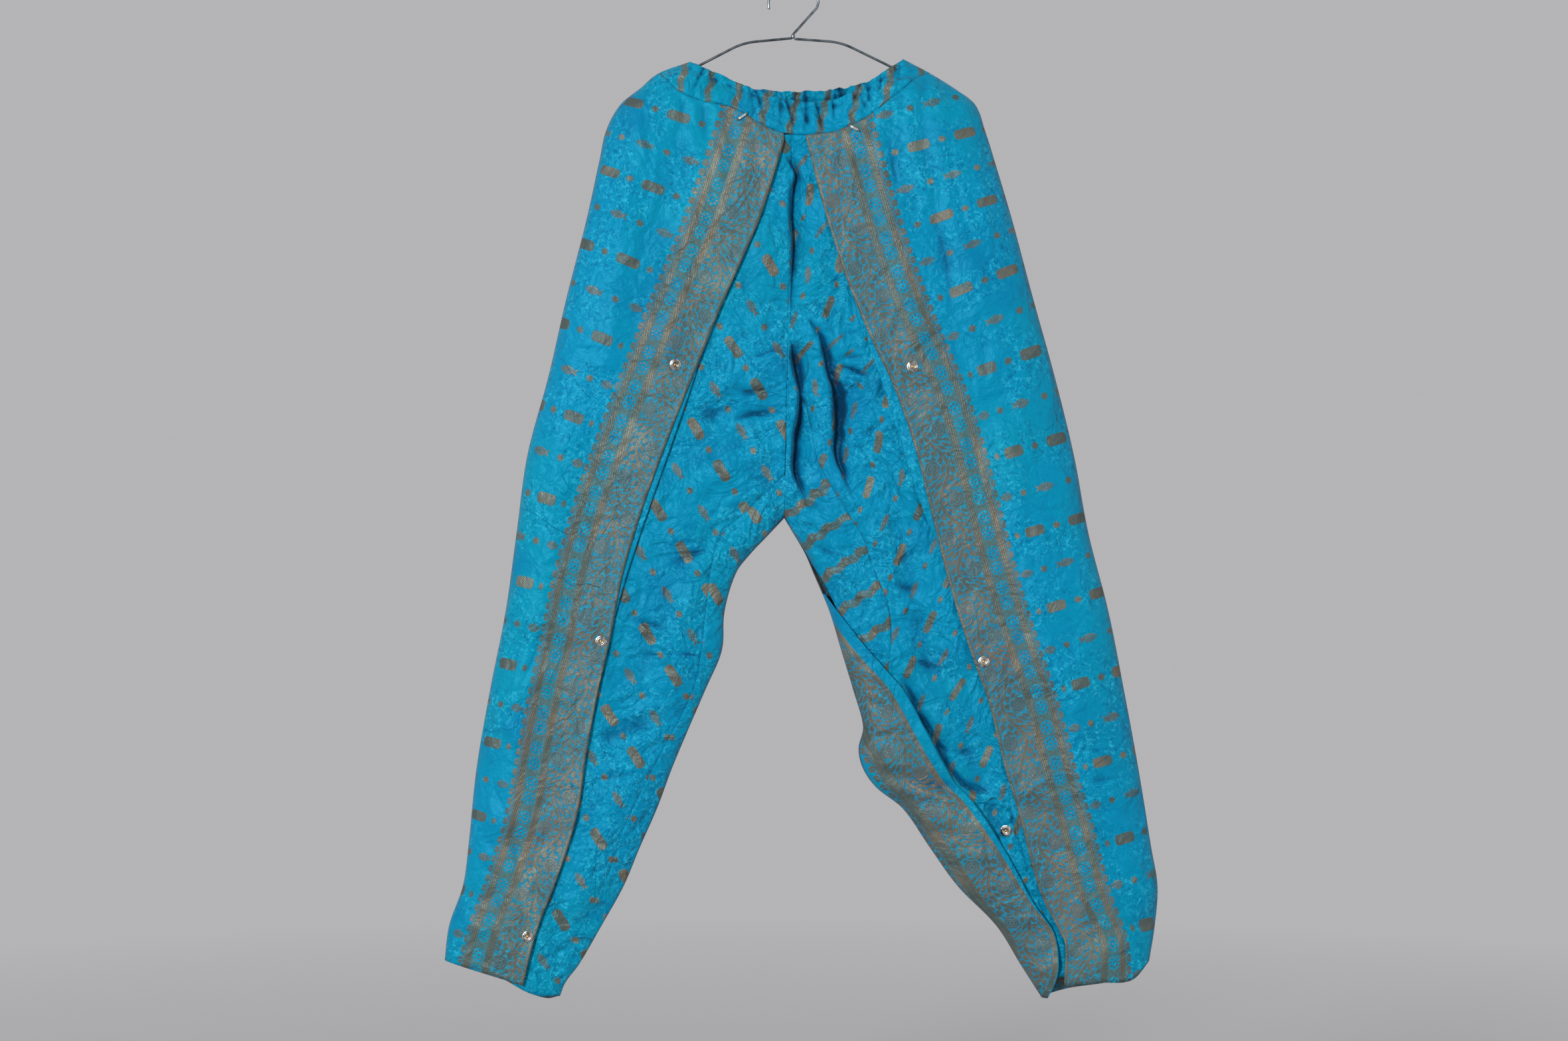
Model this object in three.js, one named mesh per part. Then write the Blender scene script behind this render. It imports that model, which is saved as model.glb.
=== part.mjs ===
// A dhoti salwar hanging on a wire hanger. Millimetres, +Z up, the front faces -Y.
// The origin is the inside top of the hanger's hook. Right and left are the wearer's.
import * as THREE from 'three'

// Cloth and how it lies
const CLOTH = 1.2 // wall
const SEAM_GAP = 0.3 // between pieces that are sewn together
const UNDER_LAYER = 5 // from the flaps back to the under-leg
const FACING_LAYER = 1.8 // from the flaps back to their facing
const ROLL = 42 // how far in from an outline fold the cloth takes to lie flat
const CROTCH_WIDEN = 1.38 // how much wider than tall that is round the crotch

// Half depth of the garment, front and back, down its height
const DEPTH = [
  { z: -88, front: 15, back: 12 },
  { z: -150, front: 22, back: 18 },
  { z: -300, front: 25, back: 20 },
  { z: -592, front: 23, back: 19 },
  { z: -860, front: 20, back: 17 },
  { z: -1125, front: 16, back: 14 },
]

// Outer outline, from the waistband's ear down to the hem
const RIGHT_SIDE = [
  { z: -91, x: -114 },
  { z: -103, x: -147 },
  { z: -120, x: -168 },
  { z: -137, x: -189 },
  { z: -165, x: -205 },
  { z: -200, x: -213 },
  { z: -264, x: -227 },
  { z: -350, x: -249 },
  { z: -437, x: -269 },
  { z: -523, x: -292 },
  { z: -609, x: -304 },
  { z: -695, x: -316 },
  { z: -781, x: -333 },
  { z: -868, x: -348 },
  { z: -954, x: -357 },
  { z: -997, x: -363 },
  { z: -1040, x: -378 },
  { z: -1078, x: -383 },
]
const LEFT_SIDE = [
  { z: -88, x: 121 },
  { z: -104, x: 151 },
  { z: -120, x: 177 },
  { z: -137, x: 199 },
  { z: -165, x: 210 },
  { z: -200, x: 221 },
  { z: -264, x: 240 },
  { z: -350, x: 263 },
  { z: -437, x: 287 },
  { z: -523, x: 308 },
  { z: -609, x: 324 },
  { z: -695, x: 346 },
  { z: -781, x: 363 },
  { z: -868, x: 379 },
  { z: -954, x: 393 },
  { z: -997, x: 400 },
  { z: -1040, x: 397 },
  { z: -1078, x: 391 },
]

// Centre seam down to the crotch, then the inner outline of each leg
const CROTCH = { x: -10, z: -592, corner: true }
const CENTRE = [
  { z: -120, x: -1 },
  { z: -300, x: -4 },
  { z: -550, x: -9 },
  CROTCH,
]
const RIGHT_INNER = [
  ...CENTRE,
  { z: -612, x: -29 },
  { z: -631, x: -47 },
  { z: -652, x: -63 },
  { z: -695, x: -76 },
  { z: -738, x: -79 },
  { z: -781, x: -97 },
  { z: -825, x: -116 },
  { z: -868, x: -134 },
  { z: -911, x: -150 },
  { z: -954, x: -169 },
  { z: -997, x: -187 },
  { z: -1040, x: -211 },
  { z: -1083, x: -236 },
  { z: -1103, x: -251 },
  { z: -1118, x: -257 },
]
const LEFT_INNER = [
  ...CENTRE,
  { z: -612, x: 2 },
  { z: -631, x: 13 },
  { z: -652, x: 22 },
  { z: -695, x: 40 },
  { z: -738, x: 53 },
  { z: -781, x: 66 },
  { z: -822, x: 77 },
  { z: -846, x: 72 },
  { z: -868, x: 77 },
  { z: -889, x: 92 },
  { z: -911, x: 120 },
  { z: -954, x: 150 },
  { z: -997, x: 181 },
  { z: -1040, x: 223 },
  { z: -1083, x: 250 },
  { z: -1105, x: 264 },
  { z: -1119, x: 273 },
]

// Inseams on the front: the centre seam at first, then out to the inner leg
const RIGHT_INSEAM = [
  { z: -174, x: -2 },
  { z: -300, x: -4 },
  { z: -450, x: -7 },
  { z: -544.8, x: -9.5, corner: true },
  { z: -578.4, x: -45, corner: true },
  { z: -612, x: -80 },
  { z: -652, x: -91 },
  { z: -695, x: -96 },
  { z: -777, x: -109 },
  { z: -850, x: -145 },
  { z: -928, x: -184 },
  { z: -978, x: -201 },
  { z: -1040, x: -232 },
  { z: -1085, x: -257 },
  { z: -1118, x: -275 },
]
const LEFT_INSEAM = [
  { z: -174, x: -2 },
  { z: -300, x: -4 },
  { z: -437.8, x: -7, corner: true },
  { z: -470.7, x: 14.5, corner: true },
  { z: -529, x: 27 },
  { z: -560, x: 43 },
  { z: -592, x: 63 },
  { z: -615, x: 77 },
  { z: -640, x: 85 },
  { z: -689, x: 104 },
  { z: -726, x: 107 },
  { z: -755, x: 104 },
  { z: -800, x: 106 },
  { z: -850, x: 118 },
  { z: -900, x: 158 },
  { z: -954, x: 193 },
  { z: -1014, x: 232 },
  { z: -1060, x: 262 },
  { z: -1096, x: 270 },
]
// The left strip draws in under the wrapped border, clear of its fold
const LEFT_STRIP_EDGE = [
  { z: -440, x: -5.6 },
  { z: -592, x: -8.8, corner: true },
  { z: -612, x: 2 },
  { z: -631, x: 14.2 },
  { z: -645, x: 22 },
  { z: -662, x: 37 },
  { z: -695, x: 57 },
  { z: -738, x: 74 },
  { z: -770, x: 84 },
]

// Free edges of the flaps, and of the border that wraps forward on the left leg
const RIGHT_FLAP_EDGE = [
  { z: -180, x: -10 },
  { z: -229, x: -25 },
  { z: -271, x: -39 },
  { z: -323, x: -62 },
  { z: -371, x: -83 },
  { z: -431, x: -107 },
  { z: -501, x: -135 },
  { z: -580, x: -164 },
  { z: -657, x: -187 },
  { z: -724, x: -200 },
  { z: -785, x: -214 },
  { z: -849, x: -226 },
  { z: -919, x: -237 },
  { z: -991, x: -260 },
  { z: -1045, x: -281 },
  { z: -1104, x: -296 },
]
const LEFT_FLAP_EDGE = [
  { z: -179, x: 14 },
  { z: -253, x: 33 },
  { z: -331, x: 58 },
  { z: -395, x: 84 },
  { z: -450, x: 110 },
  { z: -513, x: 132 },
  { z: -576, x: 148 },
  { z: -667, x: 171 },
  { z: -734, x: 192 },
  { z: -797, x: 214 },
  { z: -869, x: 232 },
  { z: -921, x: 248 },
  { z: -961, x: 258 },
  { z: -1005, x: 271 },
  { z: -1042, x: 290 },
  { z: -1058, x: 297 },
  { z: -1104, x: 296 },
]
const WRAP_EDGE = [
  { z: -669, x: 29 },
  { z: -702, x: 54 },
  { z: -732, x: 78 },
  { z: -758, x: 101 },
  { z: -780, x: 120 },
  { z: -829, x: 147 },
  { z: -881, x: 176 },
  { z: -902, x: 196 },
  { z: -954, x: 230 },
  { z: -1014, x: 263 },
  { z: -1048, x: 286 },
  { z: -1083, x: 290 },
  { z: -1100, x: 287 },
  { z: -1119, x: 279 },
]

// Lines across the garment: the waistband's top edges, its seams and the hems
const BAND_TOP_FRONT = [
  { x: -114, z: -91 },
  { x: -97, z: -98 },
  { x: -79, z: -107 },
  { x: -47, z: -121 },
  { x: -20, z: -131 },
  { x: 5, z: -136 },
  { x: 40, z: -135 },
  { x: 66, z: -124 },
  { x: 84, z: -113 },
  { x: 103, z: -100 },
  { x: 121, z: -88 },
]
const BAND_TOP_BACK = [
  { x: -114, z: -91 },
  { x: -97, z: -97 },
  { x: -63, z: -112 },
  { x: -41, z: -118 },
  { x: 0, z: -121 },
  { x: 41, z: -119 },
  { x: 78, z: -111 },
  { x: 103, z: -99 },
  { x: 121, z: -88 },
]
const BAND_SEAM_FRONT = [
  { x: -147, z: -103 },
  { x: -125, z: -125 },
  { x: -104, z: -135 },
  { x: -63, z: -145 },
  { x: -27, z: -166 },
  { x: 0, z: -173 },
  { x: 32, z: -172 },
  { x: 55, z: -166 },
  { x: 78, z: -155 },
  { x: 100, z: -139 },
  { x: 121, z: -122 },
  { x: 136, z: -109 },
  { x: 151, z: -104 },
]
const BAND_SEAM_BACK = [
  { x: -147, z: -103 },
  { x: -120, z: -125 },
  { x: -80, z: -142 },
  { x: -30, z: -156 },
  { x: 10, z: -159 },
  { x: 60, z: -152 },
  { x: 100, z: -134 },
  { x: 130, z: -112 },
  { x: 151, z: -104 },
]
const RIGHT_FLAP_HEM = [
  { x: -383, z: -1078 },
  { x: -361, z: -1084 },
  { x: -328, z: -1094 },
  { x: -296, z: -1104 },
]
const RIGHT_HEM = [
  { x: -383, z: -1078 },
  { x: -350, z: -1088 },
  { x: -321, z: -1099 },
  { x: -290, z: -1117 },
  { x: -271, z: -1122 },
  { x: -257, z: -1118 },
]
const LEFT_FLAP_HEM = [
  { x: 296, z: -1104 },
  { x: 338, z: -1101 },
  { x: 371, z: -1098 },
  { x: 391, z: -1078 },
]
const LEFT_HEM = [
  { x: 250, z: -1119 },
  { x: 300, z: -1108 },
  { x: 371, z: -1098 },
  { x: 391, z: -1078 },
]
const LEFT_INNER_HEM = [
  { x: 250, z: -1098 },
  { x: 360, z: -1096 },
]

// Gathers: waves round the waistband, and softer ones that die out down each panel
const BAND_WAVES = { count: 20, height: 2.2, uneven: 0.9, sway: 3, seamFade: 2.5, endFade: 12 }
const PANEL_WAVES = { pitch: 30, height: 2.2, length: 120, plain: 6, fade: 24 }

// Folds: ridges (height over 0) and troughs along a line, in each layer
const FOLDS = {
  flap_right: [
    { x0: -165, z0: -175, x1: -205, z1: -420, width: 17, height: 4 },
    { x0: -100, z0: -190, x1: -140, z1: -420, width: 14, height: 3 },
    { x0: -245, z0: -500, x1: -285, z1: -760, width: 20, height: 4 },
    { x0: -300, z0: -780, x1: -312, z1: -1060, width: 18, height: 3.5 },
    { x0: -325, z0: -700, x1: -230, z1: -712, width: 14, height: 3 },
    { x0: -345, z0: -925, x1: -250, z1: -920, width: 14, height: 3 },
  ],
  flap_left: [
    { x0: 165, z0: -175, x1: 215, z1: -430, width: 17, height: 4 },
    { x0: 90, z0: -190, x1: 135, z1: -400, width: 14, height: 3 },
    { x0: 235, z0: -500, x1: 285, z1: -760, width: 20, height: 4 },
    { x0: 305, z0: -780, x1: 340, z1: -1060, width: 18, height: 3.5 },
    { x0: 255, z0: -893, x1: 385, z1: -880, width: 14, height: 3 },
  ],
  inner_right: [
    { x0: -2.4, z0: -200, x1: -4.6, z1: -335, width: 9, height: -9 },
    { x0: -32, z0: -280, x1: -40, z1: -400, width: 12, height: 2.5 },
    { x0: -25, z0: -424, x1: -85, z1: -450, width: 13, height: 4 },
    { x0: -18, z0: -470, x1: -95, z1: -478, width: 12, height: -4 },
    { x0: -18, z0: -510, x1: -110, z1: -560, width: 14, height: 4 },
    { x0: -30, z0: -560, x1: -120, z1: -640, width: 13, height: -3.5 },
    { x0: -110, z0: -660, x1: -150, z1: -800, width: 16, height: 4 },
    { x0: -120, z0: -800, x1: -200, z1: -830, width: 14, height: -3.5 },
    { x0: -170, z0: -860, x1: -240, z1: -1010, width: 16, height: 4 },
    { x0: -215, z0: -1030, x1: -268, z1: -1075, width: 13, height: -3 },
  ],
  inner_left: [
    { x0: -2.4, z0: -200, x1: -4.6, z1: -335, width: 9, height: -9 },
    { x0: 22, z0: -290, x1: 30, z1: -400, width: 11, height: 3 },
    { x0: 12, z0: -440, x1: 14, z1: -545, width: 10, height: -11 },
    { x0: 42, z0: -440, x1: 44, z1: -520, width: 9, height: -8 },
    { x0: 30, z0: -430, x1: 31, z1: -520, width: 9, height: 4 },
    { x0: 60, z0: -424, x1: 100, z1: -450, width: 12, height: -3 },
    { x0: 60, z0: -490, x1: 105, z1: -480, width: 12, height: 3.5 },
    { x0: 50, z0: -560, x1: 110, z1: -640, width: 14, height: 3.5 },
    { x0: 120, z0: -640, x1: 145, z1: -760, width: 15, height: -3.5 },
    { x0: 120, z0: -740, x1: 165, z1: -820, width: 15, height: 4 },
    { x0: 190, z0: -850, x1: 225, z1: -930, width: 12, height: -4 },
  ],
  back_right: [
    { x0: -60, z0: -180, x1: -80, z1: -420, width: 18, height: 4 },
    { x0: -150, z0: -170, x1: -190, z1: -480, width: 18, height: 4 },
    { x0: -40, z0: -470, x1: -120, z1: -540, width: 15, height: 4 },
    { x0: -60, z0: -560, x1: -150, z1: -700, width: 16, height: -4 },
    { x0: -240, z0: -600, x1: -270, z1: -900, width: 20, height: 4 },
    { x0: -190, z0: -850, x1: -290, z1: -930, width: 16, height: -4 },
    { x0: -230, z0: -960, x1: -320, z1: -1060, width: 16, height: 3.5 },
  ],
  back_left: [
    { x0: 60, z0: -180, x1: 85, z1: -440, width: 18, height: 4 },
    { x0: 150, z0: -170, x1: 200, z1: -480, width: 18, height: 4 },
    { x0: 40, z0: -450, x1: 110, z1: -530, width: 15, height: 4 },
    { x0: 60, z0: -560, x1: 150, z1: -680, width: 16, height: -4 },
    { x0: 250, z0: -600, x1: 300, z1: -900, width: 20, height: 4 },
    { x0: 180, z0: -830, x1: 300, z1: -900, width: 16, height: -4 },
    { x0: 260, z0: -960, x1: 340, z1: -1060, width: 16, height: 3.5 },
  ],
  wrap: [
    { x0: 90, z0: -815, x1: 125, z1: -870, width: 14, height: 3 },
    { x0: 95, z0: -868, x1: 190, z1: -888, width: 10, height: -3 },
    { x0: 130, z0: -915, x1: 205, z1: -925, width: 16, height: 4 },
    { x0: 250, z0: -1062, x1: 292, z1: -1056, width: 8, height: -3 },
    { x0: 262, z0: -1085, x1: 290, z1: -1078, width: 9, height: 3.5 },
  ],
}

// Facings that show past the flaps' free edges
const FACING = { tuck: 22, taper: 0.7, columns: 3, rows: 12 }
const FACINGS = [
  { name: 'facing_right', on: 'flap_right', from: -425, to: -700, peek: 7 },
  { name: 'facing_left', on: 'flap_left', from: -385, to: -620, peek: 14 },
]

// Press studs: rings of one from its back to the pin in its middle, and their places
const STUD_SIDES = 16
const STUD = [
  { r: 6.0, h: 0 },
  { r: 6.3, h: 0.6 },
  { r: 4.3, h: 1.5 },
  { r: 2.4, h: 1.3 },
  { r: 1.1, h: 0.9 },
]
const STUDS = [
  { name: 'stud_flap_right_1', on: 'flap_right', x: -129, z: -425 },
  { name: 'stud_flap_right_2', on: 'flap_right', x: -210, z: -727 },
  { name: 'stud_flap_right_3', on: 'flap_right', x: -290.5, z: -1050 },
  { name: 'stud_flap_left_1', on: 'flap_left', x: 130, z: -427 },
  { name: 'stud_flap_left_2', on: 'flap_left', x: 208, z: -749 },
  { name: 'stud_inner_left', on: 'inner_left', x: 233, z: -935 },
]
// Bugle beads at the waist seam
const BUGLE = { length: 9.5, radius: 1.5, chamfer: 0.4, sides: 10 }
const BUGLES = [
  { name: 'bead_right', on: 'flap_right', x: -56, z: -154, tilt: -0.62 },
  { name: 'bead_left', on: 'flap_left', x: 66, z: -166.5, tilt: 0.5 },
]

// Hanger wire: corners of its bent path in the plane y = 0
const WIRE = 1.4 // radius
const WIRE_SIDES = 10
const BODY_PATH = [
  { x: -2.1, z: -64.6, bend: 0 },
  { x: -55, z: -69.6, bend: 14 },
  { x: -182, z: -135, bend: 6 },
  { x: -168, z: -145, bend: 5 },
  { x: 174, z: -145, bend: 5 },
  { x: 187.5, z: -135, bend: 6 },
  { x: 52, z: -69, bend: 14 },
  { x: 2.0, z: -65.4, bend: 0 },
]
const BEND_STEPS = 4 // points round a bend
const HOOK = { bow: 26, past: 12, step: 12 } // inside radius, degrees past half a turn, degrees a step
const HOOK_FOOT = [
  { x: -0.6, z: -63.6, radius: 1.8 },
  { x: -0.2, z: -62, radius: 2.3 },
  { x: 0.3, z: -59.8, radius: WIRE },
  { x: 26, z: -31, radius: WIRE },
]

const COLOURS = { cloth: 0x0f93bd, facing: 0x1290bd, wire: 0x8d9296, metal: 0xb9bdc2, glass: 0xdfe6e2 }

const CLOSER = 0.6 // share by which a panel's columns are drawn towards its folded edges
const PLACED = 6 // how fast a panel's top line gives way to even rows below it
const AWAY = -200 // y in front of the whole garment

const lerp = THREE.MathUtils.lerp
const clamp = THREE.MathUtils.clamp

/** A table's column at a place along its key column: a cubic through the rows, sharp at corners. */
function smooth(rows, key, column, at) {
  const last = rows.length - 1
  const down = rows[last][key] < rows[0][key] ? -1 : 1
  let i = 0
  while (i < last - 1 && (at - rows[i + 1][key]) * down > 0) i += 1
  const slopeAt = (j) => {
    const sharp = rows[j].corner
    const before = rows[sharp && j === i ? j : Math.max(j - 1, 0)]
    const after = rows[sharp && j > i ? j : Math.min(j + 1, last)]
    return (after[column] - before[column]) / (after[key] - before[key])
  }
  const span = rows[i + 1][key] - rows[i][key]
  const t = clamp((at - rows[i][key]) / span, 0, 1)
  const rest = 1 - t
  const ends = rows[i][column] * rest * rest * (1 + 2 * t) + rows[i + 1][column] * t * t * (3 - 2 * t)
  return ends + span * t * rest * (slopeAt(i) * rest - slopeAt(i + 1) * t)
}

/** Distance in from an outline, along x and allowing for the outline's own slant. */
function inFrom(outline, x, z, way) {
  const step = 2
  const slant = (smooth(outline, 'z', 'x', z + step) - smooth(outline, 'z', 'x', z - step)) / (2 * step)
  return ((x - smooth(outline, 'z', 'x', z)) * way) / Math.hypot(1, slant)
}

/** Quarter ellipse from 0 at a fold to 1 where the cloth lies flat. */
function rise(distance, roll) {
  const t = clamp(distance / roll, 0, 1)
  return Math.sqrt(1 - (1 - t) * (1 - t))
}

/** 0 at the outline of the garment and of each leg, 1 inside. */
function fullness(side, x, z) {
  const fromSide = rise(inFrom(side.outline, x, z, -side.way), ROLL)
  if (z > CROTCH.z) {
    const toCrotch = Math.hypot((x - CROTCH.x) / CROTCH_WIDEN, z - CROTCH.z)
    return fromSide * rise(toCrotch, ROLL)
  }
  return fromSide * rise(inFrom(side.inner, x, z, side.way), ROLL)
}

/** Height of a layer's folds at a place: each a soft ridge round its line. */
function foldHeight(folds, x, z) {
  let height = 0
  for (const fold of folds) {
    const dx = fold.x1 - fold.x0
    const dz = fold.z1 - fold.z0
    const t = clamp(((x - fold.x0) * dx + (z - fold.z0) * dz) / (dx * dx + dz * dz), 0, 1)
    const away = Math.hypot(x - fold.x0 - dx * t, z - fold.z0 - dz * t) / fold.width
    height += fold.height * Math.exp(-away * away)
  }
  return height
}

const SIDES = {
  right: { outline: RIGHT_SIDE, inner: RIGHT_INNER, way: -1 },
  left: { outline: LEFT_SIDE, inner: LEFT_INNER, way: 1 },
}

/** Height of the gathers under the waistband: none at the seam, fullest below it, then dying out. */
function gatherHeight(x, z, seam) {
  const { pitch, height, length, plain, fade } = PANEL_WAVES
  const below = (smooth(seam, 'x', 'z', x) - z) / length
  if (below <= 0 || below >= 1) return 0
  const swell = Math.sin(Math.PI * Math.sqrt(below)) * clamp((Math.abs(x) - plain) / fade, 0, 1)
  return height * swell * (0.5 + 0.5 * Math.sin((2 * Math.PI * x) / pitch))
}

/** Depth of the front or back cloth at a place, without the seam's half gap. */
function depthAt(face, side, x, z, layer, folds) {
  const half = smooth(DEPTH, 'z', face, z)
  const seam = face === 'front' ? BAND_SEAM_FRONT : BAND_SEAM_BACK
  const forms = foldHeight(folds, x, z) + gatherHeight(x, z, seam)
  return fullness(side, x, z) * (half - layer + forms)
}

/** Even steps, drawn closer together at a folded start or end, or at both. */
function spread(s, near) {
  if (near === 'start') return lerp(s, 1 - Math.cos((s * Math.PI) / 2), CLOSER)
  if (near === 'end') return 1 - spread(1 - s, 'start')
  if (near === 'both') return s - (CLOSER * Math.sin(2 * Math.PI * s)) / (2 * Math.PI)
  return s
}

/** Height along an edge at share v: even rows, but for a first one that ends at the edge's lead. */
function heightOn(side, v, rows) {
  if (side.lead === undefined) return lerp(side.from, side.to, v)
  const first = 1 / rows
  if (v < first) return lerp(side.from, side.lead, v / first)
  return lerp(side.lead, side.to, (v - first) / (1 - first))
}

/** An edge's x at a height; on a leg's own outline the seam's gap ends at the crotch. */
function edgeX(side, z) {
  const folded = side.edge === RIGHT_INNER || side.edge === LEFT_INNER
  return smooth(side.edge, 'z', 'x', z) + (folded && z <= CROTCH.z ? 0 : side.shift)
}

/** Place in the plane of a panel between two edges, a top line and a hem. */
function place(panel, s, v) {
  const zFirst = heightOn(panel.first, v, panel.rows)
  const zSecond = heightOn(panel.second, v, panel.rows)
  const xFirst = edgeX(panel.first, zFirst)
  const xSecond = edgeX(panel.second, zSecond)
  const bulge = (line, v0) => {
    if (!line) return 0
    const xs = edgeX(panel.first, lerp(panel.first.from, panel.first.to, v0))
    const xe = edgeX(panel.second, lerp(panel.second.from, panel.second.to, v0))
    const ends = lerp(smooth(line, 'x', 'z', xs), smooth(line, 'x', 'z', xe), s)
    return smooth(line, 'x', 'z', lerp(xs, xe, s)) - ends
  }
  const { hold = PLACED } = panel
  const topShare = (1 - v) ** hold
  const hemShare = v ** (2 * hold - 1)
  const z = lerp(zFirst, zSecond, s) + bulge(panel.top, 0) * topShare + bulge(panel.hem, 1) * hemShare
  return { x: lerp(xFirst, xSecond, s), z }
}

/** Point of a panel's middle surface. */
function panelPoint(panel, s, v) {
  const { x, z } = place(panel, spread(s, panel.near), v)
  const depth = depthAt(panel.face, panel.side, x, z, panel.layer, panel.folds)
  const y = SEAM_GAP / 2 + depth
  return new THREE.Vector3(x, panel.face === 'front' ? -y : y, z)
}

function edge(rows, from, to, shift = 0, lead = undefined) {
  return { edge: rows, from, to, shift, lead }
}

const UNDER_FLAP = 55 // how far the under-leg runs on behind the flap
const SEWN = SEAM_GAP / 2
const CURVED = 0.45 // half gap at the inseams, whose curve the rows cut across
const WRAP_FROM = -672 // where the left back panel starts to wrap forward

const PANELS = {
  flap_right: {
    side: SIDES.right, face: 'front', layer: 0, folds: FOLDS.flap_right, near: 'start',
    first: edge(RIGHT_SIDE, -104, -1078), second: edge(RIGHT_FLAP_EDGE, -174, -1104),
    top: BAND_SEAM_FRONT, hem: RIGHT_FLAP_HEM, columns: 15, rows: 24,
  },
  flap_left: {
    side: SIDES.left, face: 'front', layer: 0, folds: FOLDS.flap_left, near: 'start',
    first: edge(LEFT_SIDE, -105, -1078), second: edge(LEFT_FLAP_EDGE, -175, -1104),
    top: BAND_SEAM_FRONT, hem: LEFT_FLAP_HEM, columns: 15, rows: 24,
  },
  inner_right: {
    side: SIDES.right, face: 'front', layer: UNDER_LAYER, folds: FOLDS.inner_right, near: '',
    first: edge(RIGHT_FLAP_EDGE, -158, -1087, -UNDER_FLAP),
    second: edge(RIGHT_INSEAM, -174.5, -1117, -CURVED),
    top: BAND_SEAM_FRONT, hem: RIGHT_HEM, columns: 11, rows: 28,
  },
  inner_left: {
    side: SIDES.left, face: 'front', layer: UNDER_LAYER, folds: FOLDS.inner_left, near: '',
    first: edge(LEFT_FLAP_EDGE, -160, -1094, UNDER_FLAP),
    second: edge(LEFT_INSEAM, -174.5, -1096, CURVED),
    top: BAND_SEAM_FRONT, hem: LEFT_INNER_HEM, columns: 11, rows: 28,
  },
  gusset_right: {
    side: SIDES.right, face: 'front', layer: UNDER_LAYER, folds: FOLDS.inner_right, near: 'end',
    first: edge(RIGHT_INSEAM, -556, -1117, CURVED, -578.4),
    second: edge(RIGHT_INNER, -562, -1117, -SEWN, -590),
    top: null, hem: null, columns: 4, rows: 17,
  },
  gusset_left: {
    side: SIDES.left, face: 'front', layer: UNDER_LAYER, folds: FOLDS.inner_left, near: 'end',
    first: edge(LEFT_INSEAM, -450, -766.9, -CURVED, -470.7),
    second: edge(LEFT_STRIP_EDGE, -450, -770),
    top: null, hem: null, columns: 5, rows: 10,
  },
  back_right: {
    side: SIDES.right, face: 'back', layer: 0, folds: FOLDS.back_right, near: 'both',
    first: edge(RIGHT_SIDE, -104, -1078), second: edge(RIGHT_INNER, -160, -1118, -SEWN),
    top: BAND_SEAM_BACK, hem: RIGHT_HEM, columns: 14, rows: 28,
  },
  back_left: {
    side: SIDES.left, face: 'back', layer: 0, folds: FOLDS.back_left, near: 'both',
    first: edge(LEFT_SIDE, -105, -1078), second: edge(LEFT_INNER, -160, -1119, SEWN),
    top: BAND_SEAM_BACK, hem: LEFT_HEM, columns: 14, rows: 28, wrapColumns: 6,
  },
  waistband_front: {
    side: SIDES.left, face: 'front', layer: 0, folds: [], near: 'both', hold: 1, waves: BAND_WAVES,
    first: edge(RIGHT_SIDE, -91, -103), second: edge(LEFT_SIDE, -88, -104),
    top: BAND_TOP_FRONT, hem: BAND_SEAM_FRONT, columns: 80, rows: 2,
  },
  waistband_back: {
    side: SIDES.left, face: 'back', layer: 0, folds: [], near: 'both', hold: 1, waves: BAND_WAVES,
    first: edge(RIGHT_SIDE, -91, -103), second: edge(LEFT_SIDE, -88, -104),
    top: BAND_TOP_BACK, hem: BAND_SEAM_BACK, columns: 80, rows: 2,
  },
}

/** Point of the waistband's middle surface: both sides' outlines close it, and it is gathered. */
function bandPoint(band, s, v) {
  const { x, z } = place(band, spread(s, band.near), v)
  const right = rise(inFrom(RIGHT_SIDE, x, z, 1), ROLL)
  const left = rise(inFrom(LEFT_SIDE, x, z, -1), ROLL)
  const { count, height, uneven, sway, seamFade, endFade } = band.waves
  const phase = 2 * Math.PI * count * s + uneven * Math.sin(2 * Math.PI * sway * s)
  const held = Math.min(1, seamFade * (1 - v)) * Math.min(1, endFade * s, endFade * (1 - s))
  const depth = right * left * (smooth(DEPTH, 'z', band.face, z) + height * held * Math.sin(phase))
  const y = SEAM_GAP / 2 + depth
  return new THREE.Vector3(x, band.face === 'front' ? -y : y, z)
}

/** The left back panel, and past its fold the border that wraps forward over the leg. */
function wrappedPoint(panel, column, v) {
  if (column <= panel.columns) return panelPoint(panel, column / panel.columns, v)
  const share = spread((column - panel.columns) / panel.wrapColumns, 'start')
  const z = lerp(panel.second.from, panel.second.to, v)
  const x = lerp(smooth(LEFT_INNER, 'z', 'x', z), smooth(WRAP_EDGE, 'z', 'x', z), share)
  const depth = depthAt('front', panel.side, x, z, 0, FOLDS.wrap)
  return new THREE.Vector3(x, -SEAM_GAP / 2 - depth, z)
}

/** Closed mesh from a list of points and triangles, with unused points dropped. */
function meshOf(name, points, triangles, colour, metalness = 0) {
  const geometry = new THREE.BufferGeometry()
  const used = new Map()
  const positions = []
  const index = triangles.map((id) => {
    if (!used.has(id)) {
      used.set(id, used.size)
      positions.push(points[id].x, points[id].y, points[id].z)
    }
    return used.get(id)
  })
  geometry.setAttribute('position', new THREE.Float32BufferAttribute(positions, 3))
  geometry.setIndex(index)
  geometry.computeVertexNormals()
  const roughness = metalness ? 0.3 : 0.7
  const material = new THREE.MeshStandardMaterial({ color: colour, metalness, roughness })
  const mesh = new THREE.Mesh(geometry, material)
  mesh.name = name
  return mesh
}

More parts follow.
